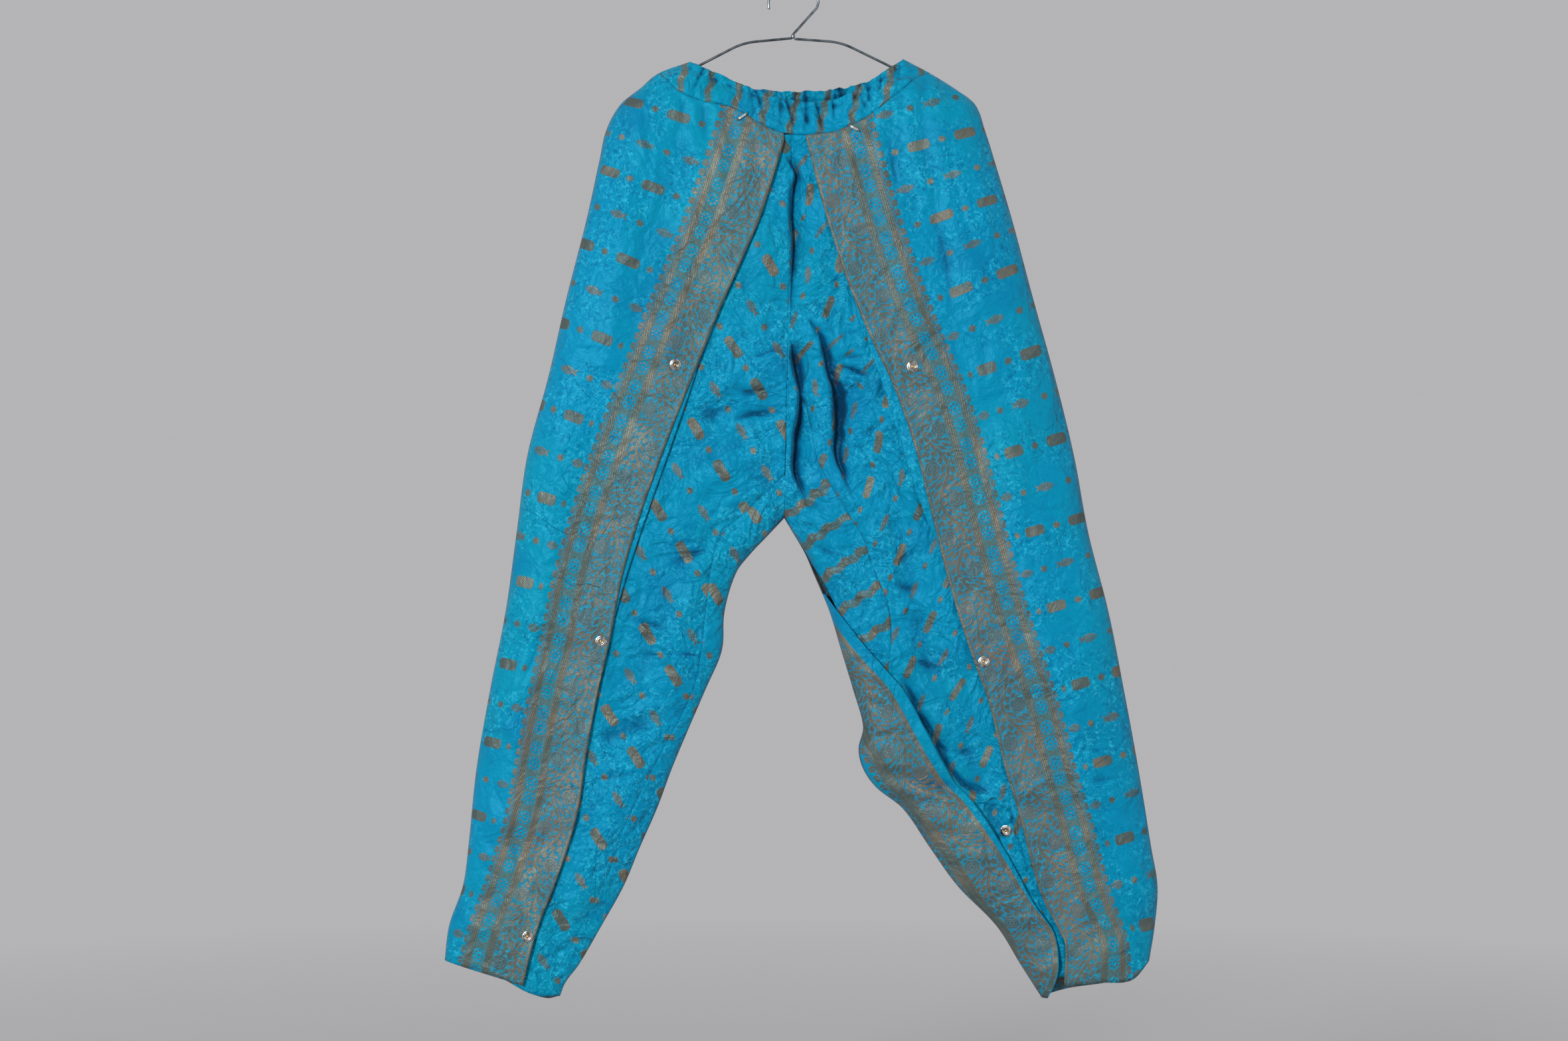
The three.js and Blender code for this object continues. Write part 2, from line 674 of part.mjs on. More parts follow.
/** Wall of even thickness about a surface over a grid of columns and rows, closed all round. */
function clothWall(name, columns, rows, surface, colour, has = () => true) {
  const tiny = 1e-3
  const points = []
  const normals = []
  const filled = (i, j) => i >= 0 && j >= 0 && i < columns && j < rows && has(i, j)
  for (let j = 0; j <= rows; j += 1) {
    for (let i = 0; i <= columns; i += 1) {
      const i0 = filled(i - 1, j) || filled(i - 1, j - 1) ? i - tiny : i
      const i1 = filled(i, j) || filled(i, j - 1) ? i + tiny : i
      const [j0, j1] = [Math.max(j - tiny, 0), Math.min(j + tiny, rows)]
      const across = surface(i1, j / rows).sub(surface(i0, j / rows))
      const down = surface(i, j1 / rows).sub(surface(i, j0 / rows))
      normals.push(across.cross(down).normalize())
      points.push(surface(i, j / rows))
    }
  }
  const all = []
  for (const way of [0.5, -0.5]) {
    points.forEach((point, k) => all.push(point.clone().addScaledVector(normals[k], way * CLOTH)))
  }
  const back = points.length
  const triangles = []
  const quad = (a, b, c, d) => triangles.push(a, b, c, a, c, d)
  const id = (i, j) => j * (columns + 1) + i
  for (let j = 0; j < rows; j += 1) {
    for (let i = 0; i < columns; i += 1) {
      if (!filled(i, j)) continue
      const corners = [id(i, j), id(i + 1, j), id(i + 1, j + 1), id(i, j + 1)]
      const [a, b, c, d] = corners
      quad(a, b, c, d)
      quad(c + back, b + back, a + back, d + back)
      const beside = [filled(i, j - 1), filled(i + 1, j), filled(i, j + 1), filled(i - 1, j)]
      beside.forEach((joined, k) => {
        const [from, to] = [corners[k], corners[(k + 1) % 4]]
        if (!joined) quad(to, from, from + back, to + back)
      })
    }
  }
  return meshOf(name, all, triangles, colour)
}

/** Facing strip behind a flap's free edge, made from the flap's own points. */
function facing({ name, on, from, to, peek }) {
  const { tuck, taper, columns, rows } = FACING
  const { side, face, folds, second } = PANELS[on]
  const strip = { side, face, folds, layer: FACING_LAYER, near: '', top: null, hem: null }
  const first = edge(second.edge, from, to, side.way * tuck)
  const surface = (i, v) => {
    const shows = peek * Math.sin(Math.PI * v) ** taper
    const free = edge(second.edge, from, to, -side.way * shows)
    return panelPoint({ ...strip, first, second: free }, i / columns, v)
  }
  return clothWall(name, columns, rows, surface, COLOURS.facing)
}

/** Corners of a bent wire rounded off, as points in the plane y = 0. */
function bentPath(corners) {
  const points = []
  corners.forEach((corner, k) => {
    const here = new THREE.Vector2(corner.x, corner.z)
    if (!corner.bend) {
      points.push(here)
      return
    }
    const before = new THREE.Vector2(corners[k - 1].x, corners[k - 1].z).sub(here).normalize()
    const after = new THREE.Vector2(corners[k + 1].x, corners[k + 1].z).sub(here).normalize()
    for (let n = 0; n <= BEND_STEPS; n += 1) {
      const t = n / BEND_STEPS
      const start = before.clone().multiplyScalar(corner.bend * (1 - t) * (1 - t))
      points.push(here.clone().add(start).addScaledVector(after, corner.bend * t * t))
    }
  })
  return points
}

/** Round rod along a path in the plane y = 0, with flat ends. */
function rod(name, path, radii, colour) {
  const points = []
  const triangles = []
  path.forEach((centre, k) => {
    const before = path[Math.max(k - 1, 0)]
    const after = path[Math.min(k + 1, path.length - 1)]
    const along = after.clone().sub(before).normalize()
    for (let n = 0; n < WIRE_SIDES; n += 1) {
      const angle = (2 * Math.PI * n) / WIRE_SIDES
      const out = radii[k] * Math.cos(angle)
      const y = radii[k] * Math.sin(angle)
      points.push(new THREE.Vector3(centre.x - along.y * out, y, centre.y + along.x * out))
    }
  })
  for (let k = 0; k < path.length - 1; k += 1) {
    for (let n = 0; n < WIRE_SIDES; n += 1) {
      const a = k * WIRE_SIDES + n
      const b = k * WIRE_SIDES + ((n + 1) % WIRE_SIDES)
      triangles.push(a, a + WIRE_SIDES, b, b, a + WIRE_SIDES, b + WIRE_SIDES)
    }
  }
  const end = (path.length - 1) * WIRE_SIDES
  for (let n = 1; n < WIRE_SIDES - 1; n += 1) {
    triangles.push(0, n, n + 1, end, end + n + 1, end + n)
  }
  return meshOf(name, points, triangles, colour, 1)
}

/** The hook: a head at the neck, a straight run up and a bow over the rail. */
function hookPath() {
  const { bow, past, step } = HOOK
  const radius = bow + WIRE
  const points = HOOK_FOOT.map(({ x, z }) => new THREE.Vector2(x, z))
  for (let degrees = 0; degrees <= 180 + past; degrees += step) {
    const angle = THREE.MathUtils.degToRad(degrees)
    points.push(new THREE.Vector2(radius * Math.cos(angle), -bow + radius * Math.sin(angle)))
  }
  return points
}

/** A solid turned about an axis: rings of a profile, closed at both poles. */
function turned(name, profile, sides, matrix, colour, metalness) {
  const points = []
  const triangles = []
  profile.forEach(({ r, h }) => {
    for (let n = 0; n < sides; n += 1) {
      const angle = (2 * Math.PI * n) / sides
      points.push(new THREE.Vector3(r * Math.cos(angle), r * Math.sin(angle), h).applyMatrix4(matrix))
    }
  })
  const rings = profile.length
  for (let k = 0; k < rings - 1; k += 1) {
    for (let n = 0; n < sides; n += 1) {
      const a = k * sides + n
      const b = k * sides + ((n + 1) % sides)
      triangles.push(a, b, a + sides, b, b + sides, a + sides)
    }
  }
  const top = (rings - 1) * sides
  for (let n = 1; n < sides - 1; n += 1) {
    triangles.push(0, n + 1, n, top, top + n, top + n + 1)
  }
  return meshOf(name, points, triangles, colour, metalness)
}

/** Frame lying on a cloth's outer face round a place: its third axis points out of the cloth. */
function seatOn(meshes, x, z, reach, lift) {
  const caster = new THREE.Raycaster()
  const hit = (dx, dz) => {
    caster.set(new THREE.Vector3(x + dx, AWAY, z + dz), new THREE.Vector3(0, 1, 0))
    return caster.intersectObjects(meshes)[0].point
  }
  const across = hit(reach, 0).sub(hit(-reach, 0)).normalize()
  const up = hit(0, reach).sub(hit(0, -reach))
  up.addScaledVector(across, -up.dot(across)).normalize()
  const out = across.clone().cross(up)
  const middle = hit(0, 0)
  let highest = 0
  for (let n = 0; n < STUD_SIDES; n += 1) {
    const angle = (2 * Math.PI * n) / STUD_SIDES
    const rim = hit(reach * Math.cos(angle), reach * Math.sin(angle)).sub(middle)
    highest = Math.max(highest, rim.dot(out))
  }
  const matrix = new THREE.Matrix4().makeBasis(across, up, out)
  return matrix.setPosition(middle.addScaledVector(out, highest + lift))
}

function studs(cloth) {
  const radius = Math.max(...STUD.map(({ r }) => r))
  return STUDS.map(({ name, on, x, z }) => {
    const matrix = seatOn([cloth(on)], x, z, radius, SEAM_GAP)
    return turned(name, STUD, STUD_SIDES, matrix, COLOURS.metal, 1)
  })
}

function bugles(cloth) {
  const { length, radius, chamfer, sides } = BUGLE
  const profile = [
    { r: radius - chamfer, h: -length / 2 },
    { r: radius, h: chamfer - length / 2 },
    { r: radius, h: length / 2 - chamfer },
    { r: radius - chamfer, h: length / 2 },
  ]
  return BUGLES.map(({ name, on, x, z, tilt }) => {
    const matrix = seatOn([cloth(on)], x, z, radius, radius + SEAM_GAP)
    matrix.multiply(new THREE.Matrix4().makeRotationZ(tilt))
    matrix.multiply(new THREE.Matrix4().makeRotationY(Math.PI / 2))
    return turned(name, profile, sides, matrix, COLOURS.glass, 0)
  })
}

function garment() {
  const meshes = []
  for (const [name, panel] of Object.entries(PANELS)) {
    const { columns, rows, second, wrapColumns = 0 } = panel
    const wrapStart = Math.ceil((rows * (WRAP_FROM - second.from)) / (second.to - second.from))
    const surface = (i, v) => {
      if (panel.waves) return bandPoint(panel, i / columns, v)
      if (wrapColumns) return wrappedPoint(panel, i, v)
      return panelPoint(panel, i / columns, v)
    }
    const has = (i, j) => i < columns || j >= wrapStart
    meshes.push(clothWall(name, columns + wrapColumns, rows, surface, COLOURS.cloth, has))
  }
  return meshes.concat(FACINGS.map(facing))
}

function hanger() {
  const body = bentPath(BODY_PATH)
  const hook = hookPath()
  const radii = hook.map((point, k) => (k < HOOK_FOOT.length ? HOOK_FOOT[k].radius : WIRE))
  return [
    rod('hanger_body', body, body.map(() => WIRE), COLOURS.wire),
    rod('hanger_hook', hook, radii, COLOURS.wire),
  ]
}

const group = new THREE.Group()
group.name = 'dhoti_salwar'
const pieces = garment()
const cloth = (name) => pieces.find((mesh) => mesh.name === name)
group.add(...pieces, ...studs(cloth), ...bugles(cloth), ...hanger())

export default group
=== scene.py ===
# A dhoti salwar on a wire hanger: its cloth, trims and wire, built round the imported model.
# Metres, +Z up, the front faces -Y. Right and left are the wearer's.
import math
import bmesh
import bpy
import numpy as np
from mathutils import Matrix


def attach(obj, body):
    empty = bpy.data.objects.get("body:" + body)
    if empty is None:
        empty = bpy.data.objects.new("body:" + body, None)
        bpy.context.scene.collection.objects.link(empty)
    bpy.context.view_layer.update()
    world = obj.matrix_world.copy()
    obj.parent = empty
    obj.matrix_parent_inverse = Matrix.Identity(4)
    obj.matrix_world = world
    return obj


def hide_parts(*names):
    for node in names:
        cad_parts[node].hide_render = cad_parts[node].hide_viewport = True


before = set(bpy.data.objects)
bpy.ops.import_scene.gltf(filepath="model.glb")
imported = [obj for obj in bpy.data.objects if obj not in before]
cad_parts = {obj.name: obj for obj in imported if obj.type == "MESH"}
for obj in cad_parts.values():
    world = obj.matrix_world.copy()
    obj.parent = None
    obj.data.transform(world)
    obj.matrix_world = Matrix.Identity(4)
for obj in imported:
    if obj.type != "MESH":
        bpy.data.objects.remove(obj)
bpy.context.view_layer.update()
mm = 0.001


# ---- lines and tables, the same as the solids' ----

def line(rows, corners=()):
    # Rows of (place, value) in mm; a cubic runs through them, and turns sharply at the places in corners
    place, value = np.array(rows, float).T * mm
    last = len(rows) - 1
    spot = np.arange(last + 1)
    before, after = np.maximum(spot - 1, 0), np.minimum(spot + 1, last)
    slope = (value[after] - value[before]) / (place[after] - place[before])
    own = np.diff(value) / np.diff(place)
    leaving, arriving = slope[:-1].copy(), slope[1:].copy()
    for k in [k for k in range(1, last) if rows[k][0] in corners]:
        leaving[k], arriving[k - 1] = own[k], own[k - 1]
    return dict(place=place, value=value, leaving=leaving, arriving=arriving)


def smooth(curve, at):
    # Hermite cubic of the span that holds the place: end values, plus the slopes at both of its ends
    place, value = curve["place"], curve["value"]
    way = 1 if place[-1] > place[0] else -1
    at = np.asarray(at, float)
    i = np.clip(np.searchsorted(place * way, at * way) - 1, 0, len(place) - 2)
    span = place[i + 1] - place[i]
    t = np.clip((at - place[i]) / span, 0, 1)
    rest = 1 - t
    ends = value[i] * rest ** 2 * (1 + 2 * t) + value[i + 1] * t ** 2 * (3 - 2 * t)
    return ends + span * t * rest * (curve["leaving"][i] * rest - curve["arriving"][i] * t)


# Outer outlines, (z, x) from the waistband's ear down to the hem
rightSide = line([
    (-91, -114), (-103, -147), (-120, -168), (-137, -189), (-165, -205), (-200, -213), (-264, -227),
    (-350, -249), (-437, -269), (-523, -292), (-609, -304), (-695, -316), (-781, -333), (-868, -348),
    (-954, -357), (-997, -363), (-1040, -378), (-1078, -383)])
leftSide = line([
    (-88, 121), (-104, 151), (-120, 177), (-137, 199), (-165, 210), (-200, 221), (-264, 240), (-350, 263),
    (-437, 287), (-523, 308), (-609, 324), (-695, 346), (-781, 363), (-868, 379), (-954, 393),
    (-997, 400), (-1040, 397), (-1078, 391)])
# Centre seam down to the crotch, then the inner outline of each leg
crotch = dict(x=-10 * mm, z=-592 * mm)
centreRows = [(-120, -1), (-300, -4), (-550, -9), (-592, -10)]
rightInner = line(centreRows + [
    (-612, -29), (-631, -47), (-652, -63), (-695, -76), (-738, -79), (-781, -97), (-825, -116),
    (-868, -134), (-911, -150), (-954, -169), (-997, -187), (-1040, -211), (-1083, -236), (-1103, -251),
    (-1118, -257)], corners=(-592,))
leftInner = line(centreRows + [
    (-612, 2), (-631, 13), (-652, 22), (-695, 40), (-738, 53), (-781, 66), (-822, 77), (-846, 72),
    (-868, 77), (-889, 92), (-911, 120), (-954, 150), (-997, 181), (-1040, 223), (-1083, 250),
    (-1105, 264), (-1119, 273)], corners=(-592,))
# Inseams on the front
rightInseam = line([
    (-174, -2), (-300, -4), (-450, -7), (-544.8, -9.5), (-578.4, -45), (-612, -80), (-652, -91),
    (-695, -96), (-777, -109), (-850, -145), (-928, -184), (-978, -201), (-1040, -232), (-1085, -257),
    (-1118, -275)], corners=(-544.8, -578.4))
leftInseam = line([
    (-174, -2), (-300, -4), (-437.8, -7), (-470.7, 14.5), (-529, 27), (-560, 43), (-592, 63), (-615, 77),
    (-640, 85), (-689, 104), (-726, 107), (-755, 104), (-800, 106), (-850, 118), (-900, 158), (-954, 193),
    (-1014, 232), (-1060, 262), (-1096, 270)], corners=(-437.8, -470.7))
leftStripEdge = line([
    (-420, -6.3), (-450, -6.95), (-500, -8.2), (-550, -8.95), (-592, -9.8), (-612, 2), (-631, 14.2),
    (-645, 22), (-662, 33), (-695, 49), (-738, 69), (-770, 82)], corners=(-592,))
# Free edges of the flaps, and of the border that wraps forward on the left leg
rightFlapEdge = line([
    (-180, -10), (-229, -25), (-271, -39), (-323, -62), (-371, -83), (-431, -107), (-501, -135),
    (-580, -164), (-657, -187), (-724, -200), (-785, -214), (-849, -226), (-919, -237), (-991, -260),
    (-1045, -281), (-1104, -296)])
leftFlapEdge = line([
    (-179, 14), (-253, 33), (-331, 58), (-395, 84), (-450, 110), (-513, 132), (-576, 148), (-667, 171),
    (-734, 192), (-797, 214), (-869, 232), (-921, 248), (-961, 258), (-1005, 271), (-1042, 290),
    (-1058, 297), (-1104, 296)])
wrapEdge = line([
    (-669, 29), (-702, 54), (-732, 78), (-758, 101), (-780, 120), (-829, 147), (-881, 176), (-902, 196),
    (-954, 230), (-1014, 263), (-1048, 286), (-1083, 290), (-1100, 287), (-1119, 279)])
wrapTop = -672 * mm
# Lines across, (x, z): the waistband's top edges and seams, and the hems
bandTopFront = line([
    (-114, -91), (-97, -98), (-79, -107), (-47, -121), (-20, -131), (5, -136), (40, -135), (66, -124),
    (84, -113), (103, -100), (121, -88)])
bandTopBack = line([
    (-114, -91), (-97, -97), (-63, -112), (-41, -118), (0, -121), (41, -119), (78, -111), (103, -99),
    (121, -88)])
bandSeamFront = line([
    (-147, -103), (-125, -125), (-104, -135), (-63, -145), (-27, -166), (0, -173), (32, -172), (55, -166),
    (78, -155), (100, -139), (121, -122), (136, -109), (151, -104)])
bandSeamBack = line([
    (-147, -103), (-120, -125), (-80, -142), (-30, -156), (10, -159), (60, -152), (100, -134),
    (130, -112), (151, -104)])
rightFlapHem = line([(-383, -1078), (-361, -1084), (-328, -1094), (-296, -1104)])
rightHem = line([
    (-383, -1078), (-350, -1088), (-321, -1099), (-290, -1117), (-271, -1122), (-257, -1118)])
leftFlapHem = line([(296, -1104), (338, -1101), (371, -1098), (391, -1078)])
leftHem = line([(250, -1119), (300, -1108), (371, -1098), (391, -1078)])
leftInnerHem = line([(250, -1098), (360, -1096)])
# Half depth of the garment down its height
depthRows = [
    (-88, 15, 12), (-150, 22, 18), (-300, 25, 20), (-592, 23, 19), (-860, 20, 17), (-1125, 16, 14)]
halfDepth = dict(
    front=line([(z, front) for z, front, back in depthRows]),
    back=line([(z, back) for z, front, back in depthRows]))
sides = dict(
    right=dict(outline=rightSide, inner=rightInner, way=-1),
    left=dict(outline=leftSide, inner=leftInner, way=1))
seamOf = dict(front=bandSeamFront, back=bandSeamBack)

lie = dict(                # how the cloth lies
    thick=0.8 * mm,        # of the cloth
    sewn=0.15 * mm,        # half of the gap where front and back meet
    hollowReach=9 * mm,    # over which a point's surroundings are averaged
    underLayer=5 * mm,     # from the flaps back to the under-leg
    facingLayer=1.8 * mm,  # from the flaps back to their facing
    roll=42 * mm,          # how far in from an outline fold the cloth takes to lie flat
    crotchWiden=1.38,      # how much wider than tall that is round the crotch
    creased=1.45,          # how much taller creases are than their tables say
    pleated=1.3,           # the same for pleats
    steep=0.2,             # a pleat's width on its steep side, as a share of its other side's
    closer=0.6,            # share by which the columns are drawn towards a folded edge
    placed=6)              # how fast a panel's top line gives way to even rows


# ---- where the cloth runs ----

def inFrom(outline, x, z, way):
    # Distance in from an outline: the run along x, over the length of the outline's own slant
    step = 2 * mm
    slant = (smooth(outline, z + step) - smooth(outline, z - step)) / (2 * step)
    return (x - smooth(outline, z)) * way / np.hypot(1, slant)


def rise(distance, roll):
    # Quarter ellipse, from 0 at a fold to 1 where the cloth lies flat
    t = np.clip(distance / roll, 0, 1)
    return np.sqrt(1 - (1 - t) ** 2)


def fullness(side, x, z):
    # 0 at the outline of the garment and of each leg, 1 inside: one rise times the other
    roll = lie["roll"]
    fromSide = rise(inFrom(side["outline"], x, z, -side["way"]), roll)
    toCrotch = np.hypot((x - crotch["x"]) / lie["crotchWiden"], z - crotch["z"])
    fromInner = rise(inFrom(side["inner"], x, z, side["way"]), roll)
    return fromSide * np.where(z > crotch["z"], rise(toCrotch, roll), fromInner)


def ridges(rows, x, z):
    # Soft ridges of (x0, z0, x1, z1, width, height) in mm: a bell of the distance to each row's line
    height = np.zeros_like(x)
    for x0, z0, x1, z1, width, rowHeight in np.array(rows, float).reshape(-1, 6) * mm:
        dx, dz = x1 - x0, z1 - z0
        t = np.clip(((x - x0) * dx + (z - z0) * dz) / (dx * dx + dz * dz), 0, 1)
        away = np.hypot(x - x0 - dx * t, z - z0 - dz * t) / width
        height += rowHeight * np.exp(-away ** 2)
    return height


def creases(rows, x, z):
    # Creases of (x0, z0, x1, z1, width, height, bow) in mm: a steeper bell across a bowed line, which
    # narrows and dies out towards both of its ends
    height = np.zeros_like(x)
    for x0, z0, x1, z1, width, rowHeight, bow in np.array(rows, float).reshape(-1, 7) * mm:
        dx, dz = x1 - x0, z1 - z0
        length = math.hypot(dx, dz)
        t = ((x - x0) * dx + (z - z0) * dz) / length ** 2
        inside = np.clip(1 - (2 * t - 1) ** 2, 0, 1)
        across = ((z - z0) * dx - (x - x0) * dz) / length - bow * inside
        spread = width * (0.55 + 0.45 * np.sqrt(inside))
        height += lie["creased"] * rowHeight * inside * np.exp(-np.abs(across / spread) ** 1.35)
    return height


def pleats(paths, x, z):
    # Deep folds along smooth paths of (x, z, width, height) in mm: steeper on one side than on the other
    height = np.zeros_like(x)
    for path in paths:
        rows = np.array(path, float) * mm
        turn = np.arange(len(rows))
        fine = np.linspace(0, len(rows) - 1, 5 * len(rows) - 4)
        x0, z0, width, deep = [smooth(line(list(zip(turn / mm, column / mm))), fine) for column in rows.T]
        nearestAway, total = np.full_like(x, 1.0), np.zeros_like(x)
        for k in range(len(fine) - 1):
            dx, dz = x0[k + 1] - x0[k], z0[k + 1] - z0[k]
            length = math.hypot(dx, dz)
            t = np.clip(((x - x0[k]) * dx + (z - z0[k]) * dz) / length ** 2, 0, 1)
            away = np.hypot(x - x0[k] - dx * t, z - z0[k] - dz * t)
            beside = (z - z0[k]) * dx - (x - x0[k]) * dz
            wide = (width[k] + (width[k + 1] - width[k]) * t) * np.where(beside > 0, 1.0, lie["steep"])
            tall = lie["pleated"] * (deep[k] + (deep[k + 1] - deep[k]) * t)
            shape = tall * np.exp(-(away / wide) ** 1.8)
            total = np.where(away < nearestAway, shape, total)
            nearestAway = np.minimum(nearestAway, away)
        height += total
    return height


def gathers(face, x, z, seed):
    # Waves below the waistband: none at the seam, fullest just below it, then dying out unevenly
    pitch, height, length, plain, fade = 30 * mm, 1.3 * mm, 120 * mm, 6 * mm, 24 * mm
    rough, roughLength = 3.4 * mm, 38 * mm
    drop = smooth(seamOf[face], x) - z
    below = np.clip(drop / length, 0, 1)
    swell = np.sin(np.pi * np.sqrt(below)) * np.clip((np.abs(x) - plain) / fade, 0, 1)
    even = 0.5 + 0.5 * np.sin(2 * np.pi * x / pitch)
    uneven = crumple(seed, x, z * 0.2, 17 * mm) * np.exp(-drop / roughLength) * np.clip(drop / (4 * mm), 0, 1)
    return height * swell * even + rough * uneven


def crumple(seed, x, z, size, count=9):
    # Uneven wrinkles between -1 and 1: folded sine waves in turned directions, each bent by a slower one
    draw = np.random.default_rng(seed)
    total, weight = np.zeros_like(x), 0
    for k in range(count):
        angle, phase, bend = draw.uniform(0, np.pi), draw.uniform(0, 2 * np.pi), draw.uniform(0.6, 1.6)
        length = size * draw.uniform(0.7, 1.7)
        along = x * math.cos(angle) + z * math.sin(angle)
        beside = z * math.cos(angle) - x * math.sin(angle)
        bent = along + 0.35 * length * np.sin(2 * np.pi * beside / (length * 2.3) + bend * 3)
        wave = 1 - 2 * np.abs(np.sin(np.pi * bent / length + phase))
        share = draw.uniform(0.4, 1)
        total, weight = total + wave * share, weight + share
    return total / weight


def zoned(zones, x, z):
    # Crumple in ovals of (x, z, half width, half height, height, wavelength, seed) in mm, fading to the rims
    height = np.zeros_like(x)
    for x0, z0, wide, tall, rowHeight, size, seed in zones:
        out = np.hypot((x - x0 * mm) / (wide * mm), (z - z0 * mm) / (tall * mm))
        inside = np.clip(1 - out, 0, 1)
        height += rowHeight * mm * inside * inside * (3 - 2 * inside) * crumple(seed, x, z, size * mm)
    return height


def spread(s, near):
    # Even steps, drawn closer together at a folded start or end, or at both
    closer = lie["closer"]
    if near == "start":
        return s + (1 - np.cos(s * np.pi / 2) - s) * closer
    if near == "end":
        return 1 - spread(1 - s, "start")
    if near == "both":
        return s - closer * np.sin(2 * np.pi * s) / (2 * np.pi)
    return s


def edge(curve, top, low, shift=0.0, lead=None):
    # A panel's edge: a curve from a top to a low height, moved over by shift; its first part ends at lead
    return dict(curve=curve, top=top * mm, low=low * mm, shift=shift, lead=lead and lead * mm)


def heightOn(side, v, firstShare):
    # Height along an edge: even, but for a first share that ends at the edge's lead
    if side["lead"] is None:
        return side["top"] + (side["low"] - side["top"]) * v
    before = side["top"] + (side["lead"] - side["top"]) * v / firstShare
    after = side["lead"] + (side["low"] - side["lead"]) * (v - firstShare) / (1 - firstShare)
    return np.where(v < firstShare, before, after)


def edgeX(side, z):
    # An edge's x: its curve's, plus its shift
    return smooth(side["curve"], z) + side["shift"]


def place(panel, s, v):
    # Place in the plane of a panel: between its two edges, bulged to its top line and its hem
    first, second = panel["first"], panel["second"]
    firstShare = panel.get("firstShare", 0)
    zFirst, zSecond = heightOn(first, v, firstShare), heightOn(second, v, firstShare)
    xFirst, xSecond = edgeX(first, zFirst), edgeX(second, zSecond)

    def bulge(curve, end):
        if curve is None:
            return 0
        xs, xe = edgeX(first, first[end]), edgeX(second, second[end])
        ends = smooth(curve, xs) + (smooth(curve, xe) - smooth(curve, xs)) * s
        return smooth(curve, xs + (xe - xs) * s) - ends

    hold = panel.get("hold", lie["placed"])
    topShare, hemShare = (1 - v) ** hold, v ** (2 * hold - 1)
    z = zFirst + (zSecond - zFirst) * s
    z = z + bulge(panel.get("topLine"), "top") * topShare + bulge(panel.get("hemLine"), "low") * hemShare
    return xFirst + (xSecond - xFirst) * s, z


def layerDepth(panel, x, z):
    # Depth of the cloth: its fullness times the half depth, less its layer, plus all its forms
    forms = ridges(panel["folds"], x, z) + finer(panel, x, z)
    layer = panel["layer"]
    if panel.get("topLine"):    # flat along the waistband's seam, which draws it in
        fade, groove, grooveWide, sewnShare, apart = 8 * mm, 0.9 * mm, 2 * mm, 0.24, 18 * mm
        drop = smooth(seamOf[panel["face"]], x) - z
        forms = (forms + gathers(panel["face"], x, z, panel["seed"])) * np.clip(drop / fade, 0, 1)
        forms = forms - groove * np.exp(-(drop / grooveWide) ** 2)
        layer = layer * np.clip(sewnShare + drop / apart, 0, 1)
    return fullness(panel["side"], x, z) * (smooth(halfDepth[panel["face"]], z) - layer + forms)


fine = dict(
    uneven=0.6 * mm, unevenWide=85 * mm,               # all over
    underFrom=3 * mm, underOver=13 * mm,               # where a flap's edge starts to lie on it
    wrapOver=6 * mm, left=0.05,                        # the same for the wrapped border, and what is left
    lift=0.5, flutter=0.9, flutterWide=5 * mm,         # mm, along a free edge
    flutterLong=37 * mm, flutterUneven=21 * mm,
    pucker=0.9 * mm, puckerWide=7 * mm, puckerLong=13 * mm,    # beside a seam
    groove=0.7 * mm, grooveWide=1.8 * mm)                      # along it


def finer(panel, x, z):
    # What the solids leave out: creases, crumpled zones, seams' grooves and a faint unevenness all over
    height = creases(panel.get("creases", ()), x, z) + zoned(panel.get("zones", ()), x, z)
    height = height + fine["uneven"] * crumple(panel["seed"], x, z, fine["unevenWide"], 6)
    height = height + pleats(panel.get("pleats", ()), x, z)
    if "under" in panel:    # held flat where the flap lies on it
        curve, way = panel["under"]
        clear = -((x - smooth(curve, z)) * way + fine["underFrom"]) / fine["underOver"]
        clear = np.clip(clear, fine["left"], 1)
        height = height * clear
    if panel.get("wrapped"):     # nothing stands up under the border that wraps forward
        clear = np.clip((x - smooth(wrapEdge, z)) / fine["wrapOver"], fine["left"], 1)
        height = np.where((height > 0) & (z < wrapTop), height * clear, height)
    if "free" in panel:     # a little lift and flutter along a free edge
        curve, way = panel["free"]
        away = np.abs(inFrom(curve, x, z, way))
        turns = z / fine["flutterLong"] + 0.4 * np.sin(z / fine["flutterUneven"])
        flutter = 0.5 + 0.5 * np.sin(2 * np.pi * turns)
        lifted = (fine["lift"] + fine["flutter"] * flutter) * mm
        height = height + lifted * np.exp(-away / fine["flutterWide"])
    for curve in panel.get("seams", ()):   # drawn in along its seams, and puckered beside them
        away = np.abs(inFrom(curve, x, z, 1))
        pucker = np.exp(-away / fine["puckerWide"]) * crumple(81, x * 0.35, z, fine["puckerLong"])
        groove = fine["groove"] * np.exp(-(away / fine["grooveWide"]) ** 2)
        height = height + fine["pucker"] * pucker - groove
    return height


# ---- meshes ----

def blurred(field, reaches):
    # Mean over a window of so many cells each way, first down the grid and then across it
    for axis, reach in enumerate(reaches):
        pads = [(0, 0), (0, 0)]
        pads[axis] = (reach + 1, reach)
        sums = np.cumsum(np.pad(field, pads, mode="edge"), axis=axis)
        sums = np.moveaxis(sums, axis, 0)
        window = 2 * reach + 1
        field = np.moveaxis((sums[window:] - sums[:-window]) / window, 0, axis)
    return field


def gridFaces(rows, columns, has=None, turned=False):
    # Four-cornered faces between the points of a grid, where has is true
    corner = np.arange(rows * columns).reshape(rows, columns)
    faces = np.stack([corner[:-1, :-1], corner[:-1, 1:], corner[1:, 1:], corner[1:, :-1]], axis=-1)
    if turned:
        faces = faces[..., ::-1]
    return faces[has] if has is not None else faces.reshape(-1, 4)


